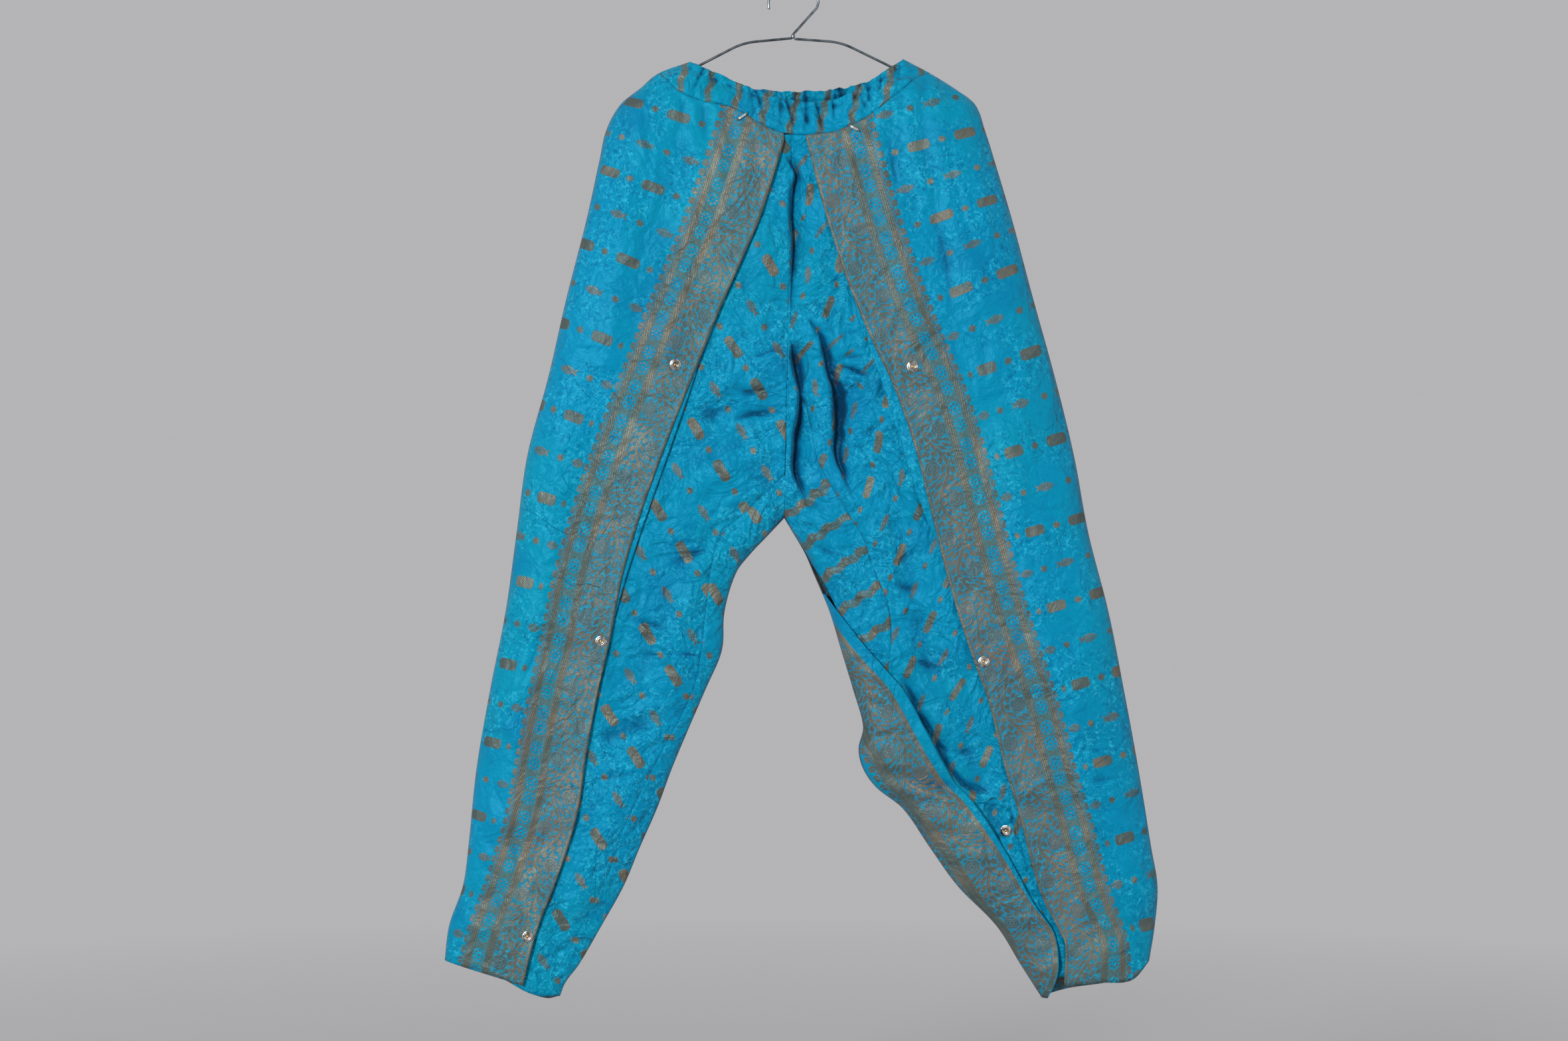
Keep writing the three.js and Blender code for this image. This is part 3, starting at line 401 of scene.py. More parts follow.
def newPiece(name, points, faces, materials, layout=None, hollow=None, kinds=None):
    # Object at the origin from points and four-cornered faces: layout is each face corner's place on the
    # cloth, hollow each point's height over its surroundings, kinds each face's material
    points = np.asarray(points, float).reshape(-1, 3)
    used, corners = np.unique(faces, return_inverse=True)
    mesh = bpy.data.meshes.new(name)
    mesh.from_pydata(points[used].tolist(), [], corners.reshape(faces.shape).tolist())
    if layout is not None:
        mesh.uv_layers.new(name="clothMap").uv.foreach_set("vector", layout.astype(np.float32).ravel())
    if hollow is not None:
        data = mesh.attributes.new("hollow", "FLOAT", "POINT").data
        data.foreach_set("value", hollow.ravel()[used].astype(np.float32))
    for material in materials:
        mesh.materials.append(material)
    if kinds is not None:
        mesh.polygons.foreach_set("material_index", kinds.astype(np.int32))
    mesh.shade_smooth()
    piece = bpy.data.objects.new(name, mesh)
    bpy.context.scene.collection.objects.link(piece)
    return piece


# ---- patterns as formulas of shader nodes ----

class Field:
    # A value in a shader: arithmetic on it adds Math nodes to its tree
    def __init__(self, socket):
        self.socket = socket
        self.tree = socket.id_data

    def __add__(self, other):
        return calc("ADD", self, other)

    def __sub__(self, other):
        return calc("SUBTRACT", self, other)

    def __rsub__(self, other):
        return calc("SUBTRACT", other, self)

    def __mul__(self, other):
        return calc("MULTIPLY", self, other)

    def __truediv__(self, other):
        return calc("DIVIDE", self, other)

    def __abs__(self):
        return calc("ABSOLUTE", self)

    __radd__, __rmul__ = __add__, __mul__


def calc(operation, *inputs, clamp=False):
    # One Math node: its operation on fields and numbers
    tree = next(value.tree for value in inputs if isinstance(value, Field))
    node = tree.nodes.new("ShaderNodeMath")
    node.operation = operation
    node.use_clamp = clamp
    for socket, value in zip(node.inputs, inputs):
        if isinstance(value, Field):
            tree.links.new(value.socket, socket)
        else:
            socket.default_value = value
    return Field(node.outputs[0])


def least(first, *others):
    # Where all shapes overlap, when each is a depth within its rim
    for other in others:
        first = calc("MINIMUM", first, other)
    return first


def most(first, *others):
    # Where any of the shapes is
    for other in others:
        first = calc("MAXIMUM", first, other)
    return first


def inside(depth, blur=0.45):
    # 0 outside and 1 inside, over a rim that is blur mm wide
    return calc("MULTIPLY_ADD", depth, 1 / blur, 0.5, clamp=True)


def between(value, low, high):
    # Depth within a band from low to high
    return least(value - low, high - value)


def wrapped(value, pitch):
    # The value's distance from the middle of its own repeat
    return calc("WRAP", value, pitch / 2, -pitch / 2)


def nearest(value, pitch):
    # Count of the repeat that the value lies in
    return calc("ROUND", value / pitch)


def odd(count):
    # 1 on odd counts, 0 on even ones
    return calc("PINGPONG", count, 1.0)


def hypot(x, y):
    # Distance from the middle
    return calc("SQRT", calc("MULTIPLY_ADD", x, x, y * y))


def angleOf(x, y):
    # Direction from the middle
    return calc("ARCTAN2", y, x)


def wave(turns, share=0.5):
    # Stripes between 0 and 1 over whole turns
    return calc("MULTIPLY_ADD", calc("SINE", turns * (2 * math.pi)), share, 1 - share)


def twill(d, w, degrees, pitch):
    # Slanting threads, pitch mm apart
    lean = math.radians(degrees)
    return wave(d * (math.cos(lean) / pitch) + w * (math.sin(lean) / pitch))


def nodeGroup(name, inputs, outputs, formula):
    # Node group that works its outputs out from its inputs by a formula
    tree = bpy.data.node_groups.new(name, "ShaderNodeTree")
    for label in inputs:
        tree.interface.new_socket(label, in_out="INPUT", socket_type="NodeSocketFloat")
    for label in outputs:
        tree.interface.new_socket(label, in_out="OUTPUT", socket_type="NodeSocketFloat")
    source, sink = tree.nodes.new("NodeGroupInput"), tree.nodes.new("NodeGroupOutput")
    results = formula(*[Field(source.outputs[label]) for label in inputs])
    for label, result in zip(outputs, results):
        tree.links.new(result.socket, sink.inputs[label])
    return tree


def useGroup(group, *fields):
    # A node group's outputs for these fields
    tree = fields[0].tree
    node = tree.nodes.new("ShaderNodeGroup")
    node.node_tree = group
    for socket, field in zip(node.inputs, fields):
        tree.links.new(field.socket, socket)
    return [Field(socket) for socket in node.outputs]


# All patterns are in mm: d runs in from the cloth's free edge, w along it

butti = dict(first=92, across=27, along=44)    # the field's motifs: first column, and their spacing


def fieldMotifs(d, w):
    # Rows of capsules and dots, and between them rows of leaves and dots
    k, row = nearest(d - butti["first"], butti["across"]), nearest(w, butti["along"])
    u = d - butti["first"] - k * butti["across"]
    t = w - row * butti["along"]
    kOdd, rowOdd = odd(k), odd(row)
    side = abs(t)
    # Capsule: a rounded bar, 26 by 11.5
    capsule = 4.4 - hypot(most(abs(u) - 8.6, 0.0), most(side - 1.35, 0.0))
    # Leaf: pairs of slanting leaflets within a spindle, on a forked stalk
    spindle = 4.7 - (u + 0.8) * (u + 0.8) * 0.043 - side
    leaflets = 1.25 - abs(wrapped(u - side * 0.85, 3.5))
    fork = least(1.0 - abs(side + (u + 8.0) * 0.75), u + 12.0, -7.5 - u)
    leaf = most(least(leaflets, spindle, side - 0.35), fork, least(0.55 - side, between(u, -9.0, 6.0)))
    # Dot: six petals
    dot = 3.5 - hypot(u * 0.9, t) + 0.55 * calc("COSINE", angleOf(u, t) * 6.0)
    isDot = abs(kOdd - rowOdd)
    shape = isDot * inside(dot) + kOdd * rowOdd * inside(capsule)
    shape = shape + (1 - kOdd) * (1 - rowOdd) * inside(leaf)
    return shape, twill(u, t, 62, 1.75)


borderRows = dict(    # across the border, mm in from the free edge
    vine=(4.3, 38.3), haze=(2.0, 39.0), innerTwill=(39.4, 46.6), flowers=(47.6, 61.4),
    outerTwill=(62.2, 68.6), stalks=(68.8, 71.5), filler=(69.0, 72.4),
    twillLines=((43.0, 4.3), (65.4, 4.0)), flowerMiddle=54.5, budMiddle=74.6, budPitch=11.5,
    flowerPitch=40.0, vinePitch=78.0, vineMiddle=21.0, rosettes=11.8, rosettesApart=18.6, past=81)
wrapRows = dict(stripe=(12.0, 18.0), vine=18.0, twill=56.0, buds=68.0)    # across the other selvedge


def vine(d, w):
    # Serpentine stem with two tiers of leaves on both sides, and a rosette in each of its hollows
    turns, half = w / borderRows["vinePitch"], borderRows["vinePitch"] / 2
    lean = 0.66 * calc("COSINE", turns * (2 * math.pi))
    q = d - borderRows["vineMiddle"] - 8.3 * calc("SINE", turns * (2 * math.pi))
    q = q / calc("SQRT", 1 + lean * lean)
    away = abs(q)
    n = nearest(w - half / 2, half)
    x = w - half / 2 - n * half
    y = d - borderRows["rosettes"] - odd(n) * borderRows["rosettesApart"]
    r = hypot(x, y)
    angle = angleOf(x, y)
    gap = abs(calc("SINE", angle * 4.0)) * r * 0.8 - 0.32
    rim = 8.1 + 0.5 * calc("COSINE", angle * 8.0) - r
    rosette = most(2.3 - r, least(r - 2.9, gap, rim, abs(r - 5.3) - 0.25))
    side = calc("GREATER_THAN", q, 0.0)
    slant = (away - 5.4) * 0.6
    p = wrapped(w + side * 4.3 - slant, 8.6)
    leaf = least(3.3 - hypot(p, (away - 5.5) * 1.12), abs(p) - 0.14 - (away - 7.5) * 0.25)
    second = wrapped(w + side * 4.3 + 4.3 - slant * 0.8, 8.6)
    petal = 3.0 - hypot(second * 0.92, (away - 10.9) * 1.15) + 0.35 * calc("COSINE", second * 3.2)
    third = wrapped(w + side * 2.0 - slant * 0.3, 7.1)
    bud = 2.5 - hypot(third, (away - 16.0) * 0.95)
    twig = least(0.5 - abs(p + 1.3), away - 1.5, 4.2 - away)
    leaves = most(leaf, petal, bud, twig)
    return most(2.0 - away, rosette, least(leaves, r - 9.1))


def flowerBand(d, w):
    # Pairs of flowers, each a ring of eight ovals round a dot; returns the ovals and their ground
    pitch = borderRows["flowerPitch"]
    x = abs(wrapped(w, pitch)) - 8.75
    y = d - borderRows["flowerMiddle"]
    r = hypot(x * 0.92, y)
    around = wrapped(angleOf(x, y), math.pi / 4) * 4.4
    ovals = 1.15 - hypot((r - 4.5) * 0.85, around * 1.1)
    crossing = 0.5 - abs(abs(wrapped(w - pitch / 2, pitch)) - abs(y) * 0.75)
    flower = most(ovals, 1.15 - r, least(crossing, 4.5 - abs(y)))
    return flower, r - 6.9


def borderWeave(d, w):
    # Across the border: selvedge, vine, twill, flowers, twill, and a row of buds on stalks
    vineBand = least(vine(d, w), between(d, *borderRows["vine"]))
    flower, outside = flowerBand(d, w)
    flowers = between(d, *borderRows["flowers"])
    pitch = borderRows["budPitch"]
    b, y = wrapped(w, pitch), d - borderRows["budMiddle"]
    bud = least(4.7 - (abs(b) + abs(y)) * 0.82, 4.2 - hypot(b, y))
    stalk = least(0.6 - abs(b), between(d, *borderRows["stalks"]))
    bud = most(least(bud, abs(b) - abs(y) * 0.12 - 0.1), stalk)
    filler = 1.0 - abs(abs(wrapped(w - pitch / 2, pitch)) - (72.8 - d) * 0.5)
    filler = least(filler, between(d, *borderRows["filler"]))
    figures = most(vineBand, least(flower, flowers), bud, filler, 3.6 - abs(d))
    bands = most(between(d, *borderRows["innerTwill"]), between(d, *borderRows["outerTwill"]))
    lines = most(*[0.42 - abs(abs(d - middle) - half) for middle, half in borderRows["twillLines"]])
    figure = most(inside(figures), inside(lines))
    band = inside(bands)
    ground = inside(least(flowers, outside)) * 0.85
    threads = twill(d, w, 28, 1.9)
    veins = twill(d, w, -38, 1.6) * 0.8 + 0.1
    hatch = band * threads + (1 - band) * veins
    haze = inside(between(d, *borderRows["haze"])) * 0.28
    return most(figure, band), most(ground, band * 0.9, haze), hatch


def borderedWeave(d, w):
    # The border along the free edge, and the field's motifs beyond it
    figure, ground, hatch = useGroup(borderGroup, d, w)
    motif, motifHatch = useGroup(motifGroup, d, w)
    motif = motif * inside(d - borderRows["past"], 1.0)
    return most(figure, motif), ground, most(hatch * (1 - motif), motif * motifHatch)


def fieldWeave(d, w):
    # The field's motifs alone
    motif, hatch = useGroup(motifGroup, d, w)
    return motif, motif * 0.35, hatch


def wrapWeave(d, w):
    # The other selvedge: plain, a stripe, the vine, two twill stripes and the buds
    toVine, toTwill, toBuds = [calc("GREATER_THAN", d, wrapRows[name]) for name in ("vine", "twill", "buds")]
    onVine = (d - wrapRows["vine"]) * (35.5 / 38) + 3.5
    onTwill = calc("WRAP", d - wrapRows["twill"], 6.0, 0.0) * (7 / 6) + 62.0
    onBuds = d + 1.0
    mapped = onVine * (1 - toTwill) + onTwill * (toTwill - toBuds) + onBuds * toBuds
    figure, ground, hatch = useGroup(borderGroup, mapped, w)
    stripe = inside(between(d, *wrapRows["stripe"]))
    return most(figure * toVine, stripe), ground * toVine, hatch


def barWeave(d, w):
    # Ragged, mottled bars of metal thread, with plain silk between them
    pitch = 40.0
    row = nearest(w, pitch)
    t = w - row * pitch + 1.6 * calc("SINE", d * 0.31 + row * 2.0) + 0.6 * calc("SINE", d * 1.4)
    bar = inside(4.6 - abs(t), 1.2)
    thin = wave(d * 0.045 + row * 0.37, 0.3)
    return bar * thin, bar * 0.75, twill(d, w, 70, 1.8) * 0.7


def stripWeave(d, w):
    # The same bars, on the strip's lower part alone
    bar, ground, hatch = barWeave(d, w)
    low = inside(w + 62.0, 2.0)
    return bar * low, ground * low, hatch


def plainWeave(d, w):
    # No figure, ground or hatch
    return d * 0.0, d * 0.0, d * 0.0


motifGroup = nodeGroup("fieldMotifs", ["d", "w"], ["figure", "hatch"], fieldMotifs)
borderGroup = nodeGroup("borderWeave", ["d", "w"], ["figure", "ground", "hatch"], borderWeave)


def colour(red, green, blue):
    # Screen values to light
    return tuple((c / 255 / 12.92 if c <= 10 else ((c / 255 + 0.055) / 1.055) ** 2.4)
                 for c in (red, green, blue))


# fold and hollowShade are painted shade for the cloth's creases and hollows; fold also tints the darker
# jacquard marks
silkLook = dict(
    base=colour(0, 121, 157), deep=colour(0, 102, 146), green=colour(0, 126, 153), fold=colour(0, 80, 122),
    hollowShade=colour(0, 48, 80), fleck=colour(40, 162, 190), zari=colour(92, 92, 80), warm=colour(138, 112, 82),
    bright=colour(146, 138, 116), ground=colour(70, 94, 88), gap=colour(40, 68, 72),
    roughness=0.46, sheen=0.04, specular=0.3, gloss=(0.12, 0.62, 0.9))


class Shader:
    # A material's node tree, with short ways to add textures, mixes and bumps
    def __init__(self, name):
        self.material = bpy.data.materials.new(name)
        self.material.use_nodes = True
        self.tree = self.material.node_tree
        self.surface = self.tree.nodes["Principled BSDF"]
        self.where = self.tree.nodes.new("ShaderNodeTexCoord").outputs["Object"]

    def noise(self, size, detail=2.0, distortion=0.0, vector=None):
        # Noise whose lumps are about size mm across
        node = self.tree.nodes.new("ShaderNodeTexNoise")
        for label, value in (("Scale", 700 / size), ("Detail", detail), ("Distortion", distortion)):
            node.inputs[label].default_value = value
        self.tree.links.new(vector or self.where, node.inputs["Vector"])
        return Field(node.outputs[0])

    def patches(self, low, high, size, detail=2.0, distortion=0.0):
        # Soft patches of noise: 0 below low, 1 above high
        return span(self.noise(size, detail, distortion), low, high)

    def veins(self, middle, sharp, size, detail, distortion):
        # Thin winding lines, where noise crosses its middle
        away = abs(self.noise(size, detail, distortion) - middle)
        return calc("MULTIPLY_ADD", away, -sharp, 1.0, clamp=True)

    def mix(self, share, first, second):
        # The first colour, giving way to the second by its share
        node = self.tree.nodes.new("ShaderNodeMix")
        node.data_type = "RGBA"
        node.clamp_factor = True
        self.tree.links.new(share.socket, node.inputs["Factor"])
        for socket, value in ((node.inputs["A"], first), (node.inputs["B"], second)):
            self.put(socket, value)
        return node.outputs["Result"]

    def put(self, socket, value):
        # A field or a socket is linked; a colour or a number is set
        if isinstance(value, Field):
            value = value.socket
        if isinstance(value, bpy.types.NodeSocket):
            self.tree.links.new(value, socket)
        else:
            socket.default_value = (*value, 1) if isinstance(value, tuple) else value

    def bump(self, height, millimetres):
        # Normals of a relief: so many mm deep for a height of 1
        node = self.tree.nodes.new("ShaderNodeBump")
        node.inputs["Distance"].default_value = millimetres * mm
        self.tree.links.new(height.socket, node.inputs["Height"])
        return node.outputs["Normal"]

    def set(self, **values):
        # The surface's own inputs, by name; returns the finished material
        for label, value in values.items():
            self.put(self.surface.inputs[label.replace("_", " ")], value)
        return self.material


def span(value, low, high):
    # 0 below low, 1 above high, even between
    return calc("MULTIPLY_ADD", value, 1 / (high - low), -low / (high - low), clamp=True)


def silkMaterial(name, weave, crushed=0.9):
    # Jacquard silk: shot ground with tonal flecks, painted shade in its hollows and crinkles, and metal
    # thread where the weave has a figure, its lighter patches partly a painted highlight
    look, shader = silkLook, Shader(name)
    tree = shader.tree
    layout = tree.nodes.new("ShaderNodeUVMap")
    layout.uv_map = "clothMap"
    split = tree.nodes.new("ShaderNodeSeparateXYZ")
    tree.links.new(layout.outputs["UV"], split.inputs[0])
    d = Field(split.outputs[0]) * 1000 + (shader.noise(3.0) - 0.5) * 1.1
    w = Field(split.outputs[1]) * 1000 + (shader.noise(2.6) - 0.5) * 1.1
    figure, ground, hatch = weave(d, w)

    tone = shader.mix(shader.patches(0.42, 0.62, 140), look["base"], look["green"])
    tone = shader.mix(shader.patches(0.5, 0.68, 70, 3.0) * 0.7, tone, look["deep"])
    clusters = shader.patches(0.42, 0.56, 48, 2.0, 0.8)
    coral = shader.veins(0.5, 17.0, 5.2, 3.0, 0.35)
    fleck = coral * shader.patches(0.44, 0.54, 3.6, 1.0) * clusters
    shade = shader.veins(0.47, 16.0, 4.6, 3.0, 0.35)
    shade = shade * shader.patches(0.48, 0.57, 4.4, 1.0) * (clusters * 0.7 + 0.3)
    tone = shader.mix(fleck * 0.8, tone, look["fleck"])
    tone = shader.mix(shade * 0.75, tone, look["fold"])
    # Painted shade: the crinkles are grooves in the relief, and are also darkened towards fold
    crinkle = shader.veins(0.5, 110.0, 84, 4.0, 0.9)
    crinkle = crinkle * shader.patches(0.47, 0.6, 110)
    tone = shader.mix(crinkle * 0.3, tone, look["fold"])
    crush = 1 - abs(shader.noise(21, 3.0, 0.8) - 0.5) * 5.0
    crush = crush + (1 - abs(shader.noise(46, 3.0, 1.2) - 0.5) * 6.0) * 1.3
    threads = tree.nodes.new("ShaderNodeCombineXYZ")
    for socket, field in zip(threads.inputs, (d * 0.0002, w * 0.002)):
        tree.links.new(field.socket, socket)
    slub = shader.noise(1.4, vector=threads.outputs[0])
    tone = shader.mix(span(slub, 0.35, 0.75) * 0.22, tone, look["deep"])
    # Painted shade: the cloth is darkened towards fold and hollowShade where it lies below its surroundings
    hollow = tree.nodes.new("ShaderNodeAttribute")
    hollow.attribute_name = "hollow"
    shadeDepth = Field(hollow.outputs["Fac"]) * -1
    tone = shader.mix(span(shadeDepth, 0.3, 2.2) * 0.7, tone, look["fold"])
    tone = shader.mix(span(shadeDepth, 1.5, 4.2) * 0.9, tone, look["hollowShade"])

    metal = shader.mix(shader.patches(0.46, 0.68, 26) * 0.65, look["zari"], look["warm"])
    # Lighter patches of metal thread: random in place, and partly a painted highlight
    metal = shader.mix(shader.patches(0.5, 0.66, 44, 3.0) * 0.55, metal, look["bright"])
    metal = shader.mix(calc("MULTIPLY_ADD", hatch, 0.62, 0.34), look["gap"], metal)
    cloth = shader.mix(ground, tone, look["ground"])
    cloth = shader.mix(figure * 0.95, cloth, metal)
    # Painted shade again, over the metal thread too, in the deepest hollows
    cloth = shader.mix(span(shadeDepth, 1.8, 5.0) * 0.8, cloth, look["hollowShade"])
    weft = shader.noise(0.9, 1.0)
    height = figure * (hatch * 0.14 + 0.1) + fleck * 0.14 - shade * 0.12 + weft * 0.05
    height = height + crush * crushed - crinkle * 0.5 + slub * 0.12
    return shader.set(Base_Color=cloth, Roughness=look["roughness"], Metallic=figure * 0.3,
                      Sheen_Weight=look["sheen"], Specular_IOR_Level=look["specular"],
                      Specular_Tint=look["gloss"], Normal=shader.bump(height, 1.0))


borderedSilk = silkMaterial("borderedSilk", borderedWeave)
fieldSilk = silkMaterial("fieldSilk", fieldWeave, 1.9)
wrapSilk = silkMaterial("wrapSilk", wrapWeave)
barSilk = silkMaterial("barSilk", barWeave, 1.9)
stripSilk = silkMaterial("stripSilk", stripWeave, 1.9)
plainSilk = silkMaterial("plainSilk", plainWeave)
print("materials made")


# ---- the panels ----

underFlap = 55 * mm
underPleats = [    # the centre fold, and the two folds beside the crotch with the roll between them
    [
        (-10.5, -193.8, 6, -3), (2, -213.9, 8, -8), (0, -231.8, 11, -11), (-2, -258.6, 12, -12),
        (0, -288.4, 12, -12), (-1, -315.2, 10, -9), (-2, -340, 6, -4), (-3, -378, 3, -1.5)],
    [
        (-3, -396, 4, -1), (-1.2, -408, 11, -7), (0, -419, 14, -12), (3.4, -436, 13, -12),
        (6.8, -454, 9, -8), (7.3, -470, 12, -11), (5.7, -486, 15, -14), (2.7, -500, 15, -14),
        (1.8, -516, 14, -12), (0.4, -532, 12, -11), (1.8, -546, 10, -9), (6.8, -557, 8, -6),
        (11.4, -569, 6, -3), (18, -582, 5, -1)],
    [
        (19.4, -380, 5, -3), (27.5, -392, 8, -6), (32, -406, 9, -8), (35, -419, 10, -9),
        (38.9, -436, 12, -10), (43.5, -447, 13, -12), (45.4, -461, 14, -14), (47, -479, 14, -14),
        (47, -497, 13, -12), (45.4, -516, 11, -9), (48, -530, 10, -8), (52.7, -541, 8, -6),
        (57.3, -553, 6, -3), (64, -568, 4, -1)],
    [(50, -424, 5, -2), (62, -430, 6, -5), (76, -436, 5, -2)],
    [(46, -441, 5, 2), (58, -444, 6, 4), (72, -452, 5, 1)],
    [(3.6, -203, 6, 1), (12, -220, 9, 3), (21.5, -238, 7, 1)]]
besideWrap = [     # hollows along the border that wraps forward
    [
        (118, -768, 5, -1), (127, -785, 8, -4), (140, -812, 9, -5), (154, -835, 8, -5),
        (171, -868, 9, -5), (194, -892, 9, -4), (214, -896, 6, -1)],
    [
        (232, -902, 6, -1), (239, -918, 9, -6), (247, -943, 9, -8), (257, -972, 8, -9),
        (267, -1002, 6, -7), (277, -1032, 5, -2)],
    [(192, -905, 4, 1), (208, -901, 5, 3), (228, -897, 5, 3), (242, -894, 3, 1)]]
underCreases = [
    (-50, -421, -4, -405, 3.2, -2.2, 2), (-52, -427, -6, -412, 4, 1.8, 2),
    (-72, -448, -16, -456, 3.4, -2.4, -3), (-74, -441, -18, -448, 4.5, 2, -3),
    (-72, -487, -8, -475, 3.2, -2.3, 3), (-50, -477, -16, -483, 3, -1.6, -1),
    (-30, -512, -2, -492, 3.2, -2, 2), (-84, -520, -20, -528, 4.5, 1.9, -4),
    (-92, -548, -30, -538, 4, -1.7, 3), (-60, -575, -22, -560, 4, 1.6, 2),
    (-120, -600, -60, -585, 5, 1.8, -4), (-130, -640, -86, -628, 4.5, -1.7, 3),
    (-70, -395, -22, -380, 4, -1.4, -2), (-60, -350, -14, -362, 4, 1.3, 2),
    (-184, -699, -136, -713, 3.6, -2.2, -2), (-184, -706, -138, -720, 5, 1.6, -2),
    (-166, -743, -86, -747.5, 3, -2.6, 4), (-162, -750, -90, -754, 4.5, 2, 4),
    (-190, -790, -120, -782, 5, -1.6, -4), (-200, -838, -130, -846, 5, 1.6, 4),
    (-215, -880, -160, -872, 4, -1.7, 2), (-222, -930, -176, -948, 5, 1.8, -3),
    (-240, -985, -196, -975, 4, -1.6, 2), (-262, -1040, -215, -1056, 5, 1.8, 3),
    (-270, -1080, -250, -1098, 4, -1.5, 1), (47, -418, 84, -418, 3.2, -2.4, 2),
    (47, -425, 84, -425, 4.5, 2, 2), (55, -456, 94, -450, 3, -2.4, 2), (56, -463, 94, -458, 4.5, 1.8, 2),
    (62, -508, 106, -480, 3.2, -2.6, -3), (66, -514, 108, -488, 4.5, 2, -3),
    (60, -540, 100, -528, 4, 1.6, 3), (52, -392, 80, -384, 4, -1.4, -1), (20, -330, 50, -345, 4, 1.5, 2),
    (24, -360, 48, -372, 3.5, -1.6, 2), (72, -600, 120, -640, 5, 1.6, 4),
    (100, -660, 140, -672, 4, -1.6, -2), (112, -700, 150, -690, 4.5, 1.7, 3),
    (118, -742, 170, -756, 4, -2, -3), (112, -800, 160, -812, 5, 1.8, 3),
    (150, -838, 196, -850, 4, -1.7, -2), (180, -890, 222, -905, 4, 1.8, 2),
    (205, -945, 248, -935, 4, -1.6, -2), (4, -596, 58, -604, 4, 2, 3),
    (10, -618, 70, -636, 3.5, -2.2, -3), (24, -650, 84, -662, 4, 2, 2), (46, -676, 96, -700, 3.5, -2, 3),
    (70, -716, 104, -742, 4, 1.9, -2), (0, -572, 40, -586, 3.5, -2, 2)]
underZones = [
    (-50, -500, 95, 150, 2, 26, 21), (-130, -760, 95, 170, 1.4, 34, 22),
    (-200, -950, 85, 150, 1.5, 32, 23), (-40, -300, 50, 120, 1.2, 24, 24),
    (60, -470, 75, 130, 1.8, 24, 31), (110, -700, 75, 170, 1.4, 32, 32), (18, -260, 34, 110, 1.6, 18, 33),
    (40, -640, 66, 130, 3, 21, 41)]
underLie = dict(
    face="front", layer=lie["underLayer"], seed=13,
    creases=underCreases, zones=underZones, pleats=underPleats)
flapRight = dict(
    side=sides["right"], face="front", layer=0, near="start", seed=11,
    first=edge(rightSide, -103.1, -1078), second=edge(rightFlapEdge, -171.6, -1104),
    topLine=bandSeamFront, hemLine=rightFlapHem, columns=70, rows=300,
    folds=[
        (-165, -175, -205, -420, 17, 4), (-100, -190, -140, -420, 14, 3), (-245, -500, -285, -760, 20, 4),
        (-300, -780, -312, -1060, 18, 3.5), (-325, -700, -230, -712, 14, 3),
        (-345, -925, -250, -920, 14, 3)],
    creases=[
        (-150, -178, -158, -262, 5, 2.2, 3), (-118, -172, -112, -236, 4.5, -1.8, -2),
        (-178, -185, -196, -300, 6, 1.8, 4), (-86, -180, -80, -232, 4, 1.6, 2),
        (-205, -215, -222, -330, 6, -1.6, -3), (-270, -700, -306, -792, 6.5, -2.2, 4),
        (-238, -415, -262, -520, 7, 1.8, -4), (-215, -560, -232, -672, 7, -1.6, 5),
        (-330, -812, -292, -842, 6, 1.7, 3), (-352, -965, -318, -992, 6, -1.9, 2),
        (-366, -1022, -330, -1046, 7, 2.2, -3), (-250, -1010, -268, -1082, 5, -1.2, 2),
        (-185, -470, -196, -560, 6, 1.2, 2), (-140, -300, -128, -370, 6, -1.3, -3),
        (-338, -880, -322, -955, 6, 1.5, 3), (-300, -900, -296, -1000, 7, -1.5, -5)],
    zones=[
        (-190, -300, 90, 180, 1.2, 46, 51), (-260, -650, 90, 220, 1.2, 52, 52),
        (-330, -950, 80, 190, 1.4, 44, 53)],
    free=(rightFlapEdge, -1))
flapLeft = dict(
    side=sides["left"], face="front", layer=0, near="start", seed=12,
    first=edge(leftSide, -104.1, -1078), second=edge(leftFlapEdge, -173.6, -1104),
    topLine=bandSeamFront, hemLine=leftFlapHem, columns=70, rows=300,
    folds=[
        (165, -175, 215, -430, 17, 4), (90, -190, 135, -400, 14, 3), (235, -500, 285, -760, 20, 4),
        (305, -780, 340, -1060, 18, 3.5), (255, -893, 385, -880, 14, 3)],
    creases=[
        (128, -160, 150, -262, 5, 2.2, -3), (98, -168, 112, -240, 4.5, -1.9, 2),
        (168, -165, 196, -300, 6, -1.9, -4), (196, -190, 218, -330, 6, 1.7, 3),
        (60, -185, 72, -236, 4, 1.5, -2), (150, -250, 172, -372, 6.5, -1.9, 5),
        (205, -360, 214, -440, 7, -2.3, -3), (262, -893, 392, -874, 4.5, -2.6, 4),
        (300, -905, 380, -930, 6, 1.8, -3), (232, -430, 262, -540, 7, 1.8, 4),
        (258, -560, 272, -680, 7, -1.7, -5), (330, -735, 292, -765, 6, 1.6, -3),
        (345, -790, 372, -838, 6, -1.7, 2), (356, -960, 390, -990, 6, 2, 3),
        (318, -1000, 332, -1080, 6, -1.6, 3), (180, -470, 196, -560, 6, 1.2, -2),
        (300, -640, 326, -700, 6, 1.6, 3)],
    zones=[
        (190, -300, 90, 180, 1.2, 46, 54), (280, -650, 90, 220, 1.2, 52, 55),
        (350, -950, 80, 190, 1.4, 44, 56)],
    free=(leftFlapEdge, 1))
innerRightFolds = [
    (-32, -280, -40, -400, 12, 2.5), (-25, -424, -85, -450, 13, 4), (-18, -470, -95, -478, 12, -4),
    (-18, -510, -110, -560, 14, 4), (-30, -560, -120, -640, 13, -3.5), (-110, -660, -150, -800, 16, 4),
    (-120, -800, -200, -830, 14, -3.5), (-170, -860, -240, -1010, 16, 4),
    (-215, -1030, -268, -1075, 13, -3)]
